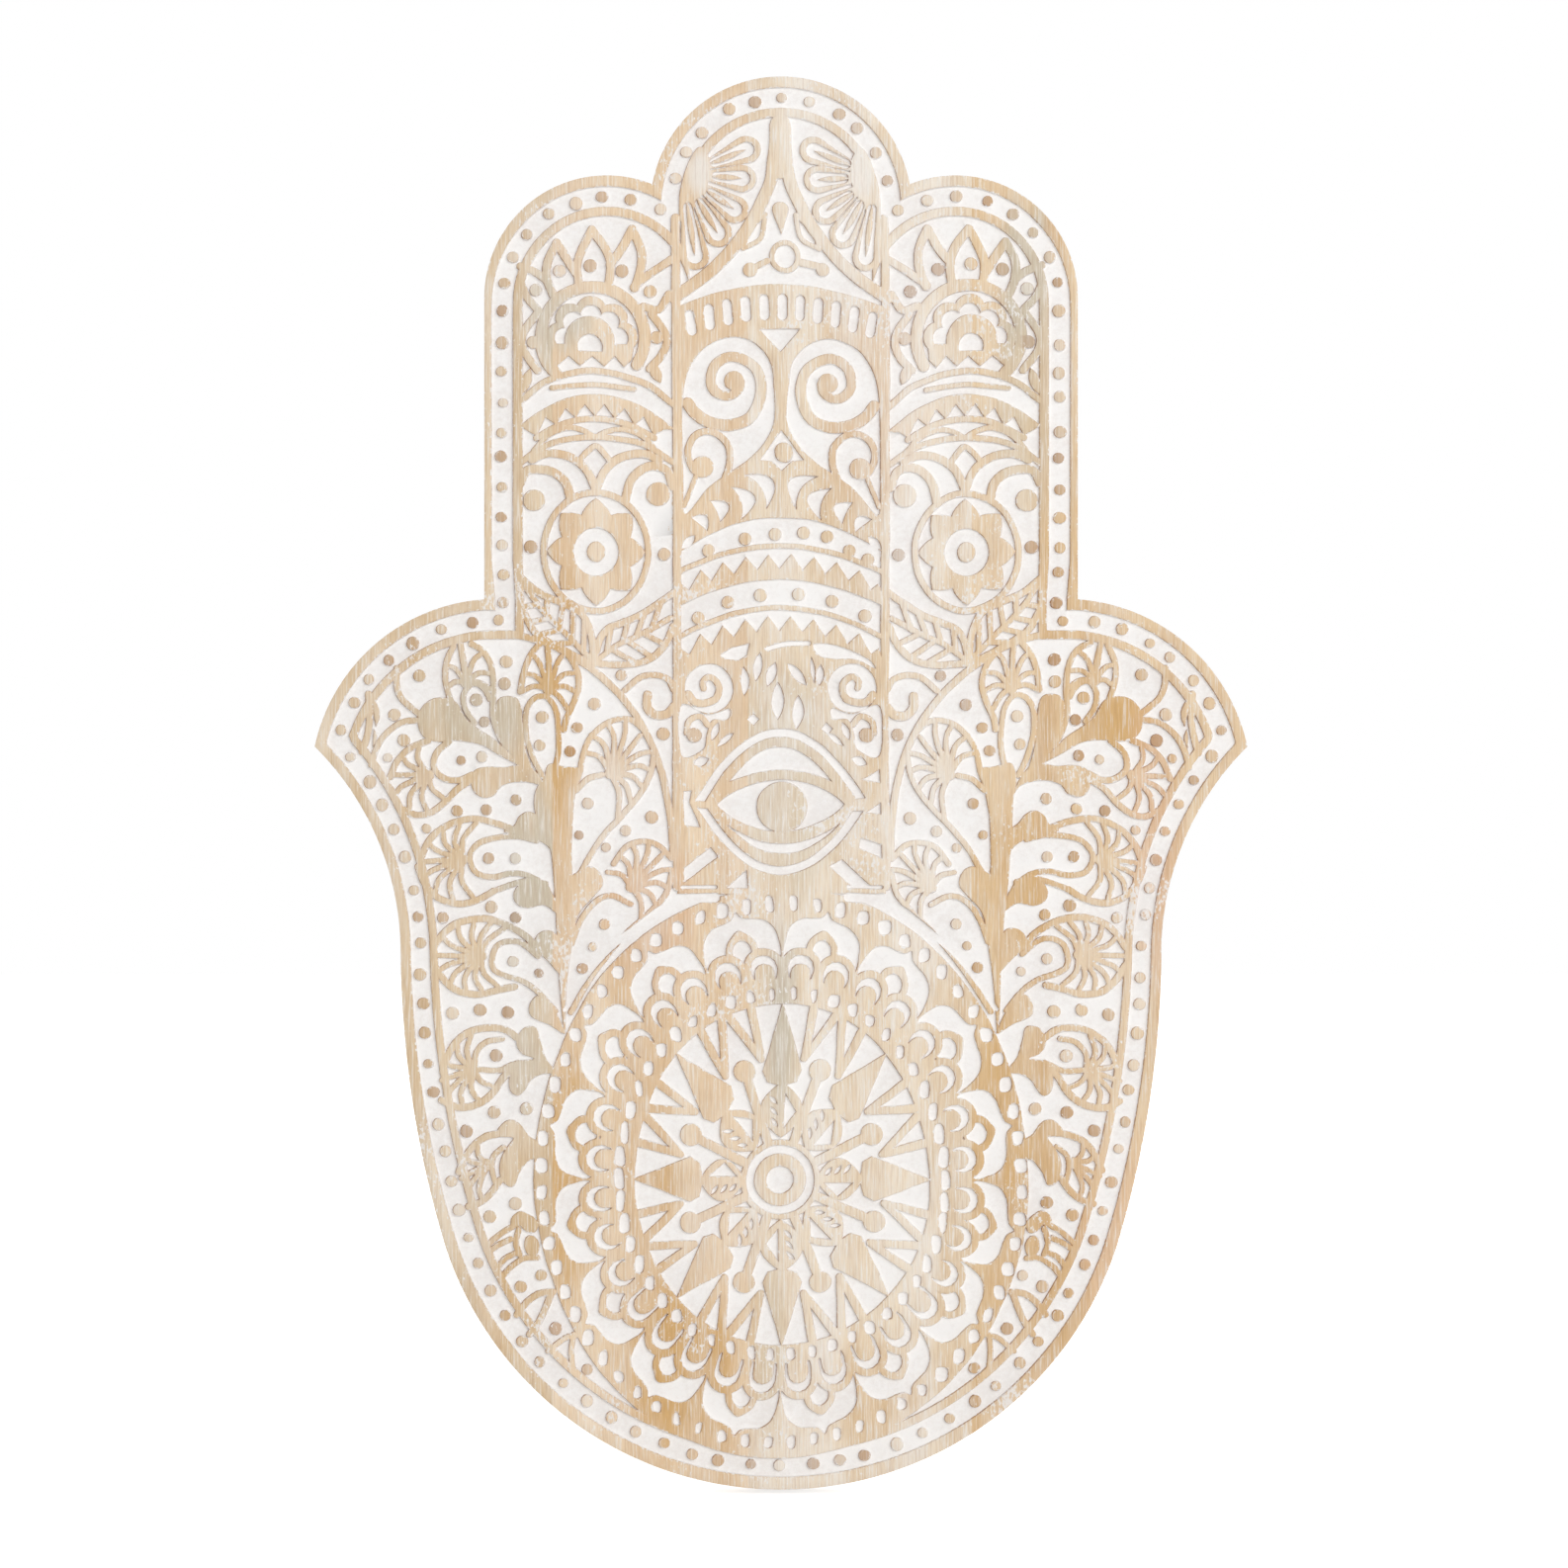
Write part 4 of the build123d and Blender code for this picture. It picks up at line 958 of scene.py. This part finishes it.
for name, low, high in zip(STAVES, (-300,) + GLUE_LINES, GLUE_LINES + (300,)):
    mine = triangles[(middles.real > low) & (middles.real <= high)]
    numbers, faces = np.unique(mine, return_inverse=True)
    spots = [in_model(places[n].real, FACE + DEPTH * (1 - height[n]), places[n].imag)
             for n in numbers]
    mesh = bpy.data.meshes.new(f"{name}_stave_carved")
    mesh.from_pydata(spots, [], faces.reshape(-1, 3).tolist())
    bm = bmesh.new()
    bm.from_mesh(mesh)
    carved = bm.verts.layers.float.new("carved")
    stain = bm.verts.layers.float.new("shade")
    for vert, n in zip(bm.verts, numbers):
        vert[carved] = 1 - height[n]
        vert[stain] = shade[n]
    close_behind(bm, carved, stain)
    open_edges = sum(not edge.is_manifold for edge in bm.edges)
    bm.to_mesh(mesh)
    bm.free()
    for face in mesh.polygons:
        face.use_smooth = face.normal.y < 0.99
    mesh.set_sharp_from_angle(angle=radians(48))
    stave = bpy.data.objects.new(mesh.name, mesh)
    bpy.context.scene.collection.objects.link(stave)
    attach(stave, "panel")
    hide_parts(f"{name}_stave")
    staves[name] = stave
    print(mesh.name, len(mesh.polygons), "faces,", open_edges, "open edges")

# %% [markdown]
# ## Wood under thin paint
# The board is a pale, open-grained wood. Its grain runs up the hand, so most noises below
# are stretched along the height. The effects that all four staves share are node groups:
# one makes the grain, one tells where paint stayed in the hollows, where bare wood shows on
# their walls and where painted shade darkens the walls that face left, and one makes a soft
# patch for a change of tone.

# %% Node helpers
def colour(red, green, blue):
    parts = [c / 255 for c in (red, green, blue)]
    return tuple(c / 12.92 if c <= 0.04045 else ((c + 0.055) / 1.055) ** 2.4 for c in parts) + (1.0,)


def put(tree, kind, inputs=(), **settings):
    made = tree.nodes.new("ShaderNode" + kind)
    for name, value in settings.items():
        setattr(made, name, value)
    for name, value in dict(inputs).items():
        socket = made.inputs[name]
        if isinstance(value, bpy.types.NodeSocket):
            tree.links.new(value, socket)
        else:
            socket.default_value = value
    return made


def mixed(tree, mask, low, high):
    return put(tree, "Mix", {0: mask, 6: low, 7: high}, data_type="RGBA").outputs[2]


def sums(tree, kind, first, second=0.0):
    return put(tree, "Math", {0: first, 1: second}, operation=kind).outputs[0]


def vectors(tree, kind, first, second=(0.0, 0.0, 0.0)):
    return put(tree, "VectorMath", {0: first, 1: second}, operation=kind).outputs


def between(tree, value, low, high, new_low=0.0, new_high=1.0):
    spread = {"Value": value, "From Min": low, "From Max": high, "To Min": new_low, "To Max": new_high}
    return put(tree, "MapRange", spread, interpolation_type="SMOOTHSTEP").outputs[0]


def cloud(tree, at, scale, detail, roughness=0.5, distortion=0.0):
    kind = {"Vector": at, "Scale": scale, "Detail": detail, "Roughness": roughness,
            "Distortion": distortion}
    return put(tree, "TexNoise", kind).outputs[0]


def streaks(tree, at, across, up, detail, roughness=0.5, distortion=0.0):
    stretched = vectors(tree, "MULTIPLY", at, (across, across, up))[0]
    return cloud(tree, stretched, 1.0, detail, roughness, distortion)


def effect(name, takes, gives):
    group = bpy.data.node_groups.new(name, "ShaderNodeTree")
    for label, kind in takes.items():
        group.interface.new_socket(label, in_out="INPUT", socket_type="NodeSocket" + kind)
    for label in gives:
        group.interface.new_socket(label, in_out="OUTPUT", socket_type="NodeSocketFloat")
    return group, group.nodes.new("NodeGroupInput").outputs, group.nodes.new("NodeGroupOutput").inputs


# %% Grain group
masks = ("Bands", "Fibre", "Lime", "Blotch")
grain, given, result = effect("wood_grain", {"Shift": "Float"}, masks)
moved = put(grain, "CombineXYZ", {"X": given["Shift"], "Z": given["Shift"]}).outputs[0]
at = vectors(grain, "ADD", put(grain, "TexCoord").outputs["Object"], moved)[0]
bands = streaks(grain, at, 60, 3.2, 4.0, 0.6, 0.4)
fibre = streaks(grain, at, 1250, 62, 3.0, 0.6)
blotch = streaks(grain, at, 16, 7, 3.0)
grain.links.new(between(grain, bands, 0.32, 0.68), result["Bands"])
grain.links.new(between(grain, fibre, 0.5, 0.64), result["Fibre"])
grain.links.new(between(grain, fibre, 0.48, 0.36), result["Lime"])
grain.links.new(between(grain, blotch, 0.32, 0.68), result["Blotch"])
print(grain.name, "has", len(grain.nodes), "nodes")

# %% [markdown]
# Paint is decided by depth: above a ragged edge it was rubbed off, below it stayed. Walls
# that face left, and a little up, carry painted shade: they lose paint and take dark stain.
# Other walls keep real bare, stained wood in patches. Flecks of paint also stuck in
# scratches on the face.

# %% Paint group
masks = ("Paint", "Stain_and_shade", "Haze", "Dirt", "Grit")
wash, given, result = effect("rubbed_paint_and_shade", {"Carved": "Float"}, masks)
at = put(wash, "TexCoord").outputs["Object"]
depth = given["Carved"]
uneven = cloud(wash, at, 260.0, 4.0, 0.65)
patchy = cloud(wash, at, 30.0, 3.0)
grit = cloud(wash, at, 700.0, 4.0, 0.7)
scratch = streaks(wash, at, 760, 420, 4.0, 0.7)
haze = streaks(wash, at, 46, 9, 6.0, 0.7)
# Painted shade: walls that face left and a little up lose paint and take dark stain.
outward = put(wash, "TexCoord").outputs["Normal"]
shaded_side = vectors(wash, "DOT_PRODUCT", outward, (-1.0, 0.0, 0.15))["Value"]
shaded_side = between(wash, shaded_side, 0.1, 0.7)
ragged = sums(wash, "ADD", sums(wash, "MULTIPLY", uneven, 0.6), grit)
creep = sums(wash, "SUBTRACT", ragged, 0.8)
creep = sums(wash, "MULTIPLY", creep, between(wash, depth, 0.0, 0.05, 0.0, 1.8))
edge = sums(wash, "ADD", depth, creep)
edge = sums(wash, "SUBTRACT", edge, sums(wash, "MULTIPLY", shaded_side, 0.4))
flecks = sums(wash, "ADD", scratch, sums(wash, "MULTIPLY", patchy, 0.9))
flecks = sums(wash, "MULTIPLY", between(wash, flecks, 1.1, 1.18), 0.85)
wall = sums(wash, "MULTIPLY", between(wash, depth, 0.04, 0.2), between(wash, depth, 0.95, 0.6))
# How much dark stain the walls take: real bare wood in patches, and painted shade on walls that face
# left.
bare = between(wash, shaded_side, 0.0, 1.0, 0.25, 1.0)
bare = sums(wash, "MULTIPLY", bare, between(wash, patchy, 0.3, 0.6, 0.35, 1.0))
dirt = sums(wash, "ADD", ragged, patchy)
wash.links.new(sums(wash, "MAXIMUM", between(wash, edge, 0.14, 0.46), flecks), result["Paint"])
# Dark wall mask: real stained wood on bare walls, and painted shade on walls that face left.
wash.links.new(sums(wash, "MULTIPLY", wall, bare), result["Stain_and_shade"])
wash.links.new(between(wash, haze, 0.4, 0.72), result["Haze"])
wash.links.new(between(wash, dirt, 1.1, 1.6), result["Dirt"])
wash.links.new(grit, result["Grit"])
print(wash.name, "has", len(wash.nodes), "nodes")

# %% Colour patch group
patch, given, result = effect("soft_patch", {"Centre": "Vector", "Reach": "Vector"}, ("Mask",))
at = put(patch, "TexCoord").outputs["Object"]
ragged = sums(patch, "SUBTRACT", streaks(patch, at, 90, 16, 4.0), 0.5)
away = vectors(patch, "SUBTRACT", at, given["Centre"])[0]
away = vectors(patch, "DIVIDE", away, given["Reach"])[0]
away = vectors(patch, "LENGTH", away)["Value"]
away = sums(patch, "ADD", away, sums(patch, "MULTIPLY", ragged, 1.1))
patch.links.new(between(patch, away, 1.1, 0.35), result["Mask"])
print(patch.name, "has", len(patch.nodes), "nodes")

# %% [markdown]
# The four staves came from different boards. Each has its own pale and dark wood, and
# patches where the wash turned golden, grey or pink; a patch is given by its middle and
# its reach in millimetres, its tint and its strength. How limed a stave is tells how much
# chalk stayed on it, and the shift slides its grain so that no two staves match.

# %% Stave finishes
GOLD, GREY, PINK = colour(214, 172, 112), colour(206, 194, 172), colour(226, 184, 150)
# The dark wall colour: real stained wood on bare walls, and painted shade on walls that face left.
CHALK, BROWN, WALL_STAIN_AND_SHADE = colour(247, 241, 233), colour(160, 112, 80), colour(160, 106, 70)
WHITE, OLD_WHITE = colour(250, 248, 246), colour(230, 223, 218)


def stave_finish(name, pale, dark, limed, patches, shift):
    material = bpy.data.materials.new("washed_wood_" + name)
    material.use_nodes = True
    tree = material.node_tree
    shader = tree.nodes["Principled BSDF"]
    veins = put(tree, "Group", node_tree=grain)
    veins.inputs["Shift"].default_value = shift
    coat = put(tree, "Group", node_tree=wash)
    depth = put(tree, "Attribute", attribute_name="carved").outputs["Fac"]
    tree.links.new(depth, coat.inputs["Carved"])
    dot_tone = put(tree, "Attribute", attribute_name="shade").outputs["Fac"]

    def share(group, label, strength):
        return sums(tree, "MULTIPLY", group.outputs[label], strength)

    tone = mixed(tree, veins.outputs["Bands"], pale, dark)
    tone = mixed(tree, share(veins, "Blotch", 0.25), tone, GOLD)
    for x, y, wide, tall, tint, strength in patches:
        spot = put(tree, "Group", node_tree=patch)
        spot.inputs["Centre"].default_value = in_model(x, FACE, y)
        spot.inputs["Reach"].default_value = (wide / 1000, 1.0, tall / 1000)
        tone = mixed(tree, share(spot, "Mask", strength), tone, tint)
    tone = mixed(tree, share(coat, "Haze", limed), tone, CHALK)
    tone = mixed(tree, share(veins, "Fibre", 0.4), tone, mixed(tree, 0.45, tone, BROWN))
    tone = mixed(tree, share(veins, "Lime", 0.35 + 0.5 * limed), tone, CHALK)
    tone = mixed(tree, between(tree, dot_tone, 0.0, 1.0, 0.0, 0.6), tone, BROWN)
    tone = mixed(tree, between(tree, dot_tone, 0.0, PALEST_DOT, 0.0, 0.4), tone, CHALK)
    # Dark wall colour laid on: real stain on bare walls, and painted shade on walls that face left.
    tone = mixed(tree, share(coat, "Stain_and_shade", 0.75), tone, WALL_STAIN_AND_SHADE)
    white = mixed(tree, share(coat, "Dirt", 0.45), WHITE, OLD_WHITE)
    tone = mixed(tree, coat.outputs["Paint"], tone, white)
    tree.links.new(tone, shader.inputs["Base Color"])
    rough = between(tree, veins.outputs["Fibre"], 0.0, 1.0, 0.72, 0.85)
    tree.links.new(rough, shader.inputs["Roughness"])
    shader.inputs["Specular IOR Level"].default_value = 0.25
    bare = sums(tree, "SUBTRACT", 1.0, coat.outputs["Paint"])
    pores = sums(tree, "MULTIPLY", veins.outputs["Lime"], bare)
    texture = sums(tree, "ADD", pores, share(coat, "Grit", 0.7))
    relief = put(tree, "Bump", {"Strength": 0.35, "Distance": 0.0005, "Height": texture})
    tree.links.new(relief.outputs[0], shader.inputs["Normal"])
    staves[name].data.materials.clear()
    staves[name].data.materials.append(material)
    print(name, "has", len(patches), "patches")


stave_finish("left_outer", colour(235, 215, 186), colour(213, 186, 149), 0.35, [
    (-125, 330, 34, 24, GREY, 0.8), (-106, 252, 18, 56, GREY, 0.95), (-103, 350, 12, 40, GOLD, 0.7),
    (-100, 500, 14, 24, GREY, 0.8), (-108, 180, 14, 30, GREY, 0.6), (-118, 90, 16, 40, GOLD, 0.4)], 0.0)
stave_finish("left_inner", colour(246, 225, 197), colour(228, 198, 162), 0.35, [
    (-90, 130, 16, 60, GOLD, 0.8), (-93, 325, 11, 66, GOLD, 0.8), (-56, 245, 24, 40, PINK, 0.5),
    (-90, 497, 13, 16, GREY, 0.85), (-48, 131, 14, 14, GOLD, 0.55), (-40, 55, 32, 45, GOLD, 0.9),
    (-72, 290, 22, 30, CHALK, 0.5), (-34, 560, 7, 14, CHALK, 0.8)], 1.7)
stave_finish("right_inner", colour(246, 231, 208), colour(230, 208, 179), 0.8, [
    (0, 200, 9, 50, GREY, 1.0), (-4, 60, 9, 40, GREY, 0.35), (40, 460, 30, 60, PINK, 0.25),
    (4, 300, 26, 60, GREY, 0.4), (66, 285, 18, 44, CHALK, 0.55), (34, 560, 7, 14, CHALK, 0.8),
    (40, 40, 34, 30, GOLD, 0.35), (62, 455, 24, 95, CHALK, 0.3)], 3.1)
stave_finish("right_outer", colour(239, 214, 178), colour(217, 182, 138), 0.3, [
    (144, 325, 19, 17, GOLD, 0.85), (108, 262, 24, 46, GOLD, 0.6), (95, 160, 15, 66, GOLD, 0.7),
    (145, 100, 24, 60, PINK, 0.5), (158, 270, 14, 70, PINK, 0.6), (104, 515, 16, 40, GREY, 0.9),
    (112, 430, 8, 60, GOLD, 0.6), (106, 460, 22, 70, GREY, 0.45)], 4.6)

# %% [markdown]
# ## Hangers on the back
# Behind the hand are two strap hangers with rings, their screws, and two soft bumpers.
# They are bought hardware: zinc-plated steel, a little mottled, and dull dark rubber.

# %% Hardware finishes
def hardware_finish(name, low, high, metal, rough, scale):
    material = bpy.data.materials.new(name)
    material.use_nodes = True
    tree = material.node_tree
    shader = tree.nodes["Principled BSDF"]
    mottle = cloud(tree, put(tree, "TexCoord").outputs["Object"], scale, 4.0)
    tone = mixed(tree, between(tree, mottle, 0.35, 0.65), low, high)
    gloss = between(tree, mottle, 0.3, 0.7, rough - 0.08, rough + 0.08)
    tree.links.new(tone, shader.inputs["Base Color"])
    tree.links.new(gloss, shader.inputs["Roughness"])
    shader.inputs["Metallic"].default_value = metal
    return material


zinc = hardware_finish("zinc_plate", colour(172, 173, 172), colour(188, 189, 187), 1.0, 0.32, 150.0)
rubber = hardware_finish("bumper_rubber", colour(46, 44, 42), colour(62, 60, 57), 0.0, 0.75, 600.0)
for name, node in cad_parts.items():
    if "stave" not in name:
        node.data.materials.clear()
        node.data.materials.append(rubber if "bumper" in name else zinc)
        print(name, "takes", node.data.materials[0].name)

# %% [markdown]
# ## Floor, light and camera
# The photograph was taken straight on against white, in very soft light. The floor is
# plain and pale, and glows a little for the camera, so it looks white and still keeps the
# hand's shadow.

# %% Floor
FLOOR_REACH = 5.0
FLOOR_GAP = 0.002
FLOOR_GLOW = 0.7


def seen_directly(tree):
    path = put(tree, "LightPath").outputs
    direct = sums(tree, "MAXIMUM", path["Is Camera Ray"], path["Is Glossy Ray"])
    return sums(tree, "MAXIMUM", direct, path["Is Transmission Ray"])


studio = bpy.data.materials.new("studio_white")
studio.use_nodes = True
tree = studio.node_tree
shader = tree.nodes["Principled BSDF"]
shader.inputs["Base Color"].default_value = (0.8, 0.8, 0.8, 1.0)
shader.inputs["Roughness"].default_value = 0.9
glow = put(tree, "Emission", {"Strength": sums(tree, "MULTIPLY", seen_directly(tree), FLOOR_GLOW)})
both = put(tree, "AddShader", {0: shader.outputs[0], 1: glow.outputs[0]})
tree.links.new(both.outputs[0], tree.nodes["Material Output"].inputs["Surface"])
mesh = bpy.data.meshes.new("floor")
bm = bmesh.new()
bmesh.ops.create_grid(bm, x_segments=1, y_segments=1, size=FLOOR_REACH)
bmesh.ops.translate(bm, verts=bm.verts, vec=(0, 0, LOWEST_POINT / 1000 - FLOOR_GAP))
bm.to_mesh(mesh)
bm.free()
mesh.materials.append(studio)
floor = bpy.data.objects.new("floor", mesh)
bpy.context.scene.collection.objects.link(floor)
print("the floor reaches", FLOOR_REACH, "m each way")

# %% [markdown]
# The world is white to the camera from every side and lights the hand with half that
# strength. One large lamp stands in front, and a weaker one behind for the back.

# %% World and lamps
WORLD_LIGHT = 0.5
MIDDLE_OF_HAND = Vector((0, -0.02, -0.19))
world = bpy.data.worlds.new("studio")
world.use_nodes = True
tree = world.node_tree
sky = tree.nodes["Background"]
sky.inputs["Color"].default_value = (1.0, 1.0, 1.0, 1.0)
tree.links.new(between(tree, seen_directly(tree), 0.0, 1.0, WORLD_LIGHT, 1.0), sky.inputs["Strength"])
bpy.context.scene.world = world


def soft_lamp(name, place, size, watts):
    light = bpy.data.lights.new(name, "AREA")
    light.shape = "DISK"
    light.size = size
    light.energy = watts
    lamp = bpy.data.objects.new(name, light)
    lamp.location = place
    aim = MIDDLE_OF_HAND - lamp.location
    lamp.rotation_euler = aim.to_track_quat("-Z", "Y").to_euler()
    bpy.context.scene.collection.objects.link(lamp)
    print(name, "lamp of", watts, "W,", round(aim.length, 2), "m away")


soft_lamp("key", (2.0, -4.2, 0.9), 3.2, 112)
soft_lamp("back", (-1.8, 3.6, 1.4), 2.6, 50)

# %% [markdown]
# The camera looks straight at the carved face through a long lens, as the photograph did.

# %% Camera
eye = bpy.data.cameras.new("camera")
eye.lens = 100
eye.sensor_width = 36
camera = bpy.data.objects.new("camera", eye)
camera.location = (0.00126, -1.873, -0.1869)
camera.rotation_euler = (radians(90), 0, 0)
bpy.context.scene.collection.objects.link(camera)
bpy.context.scene.camera = camera
bpy.context.scene.view_settings.view_transform = "Standard"
print("the camera stands", -camera.location.y, "m in front of the wall")
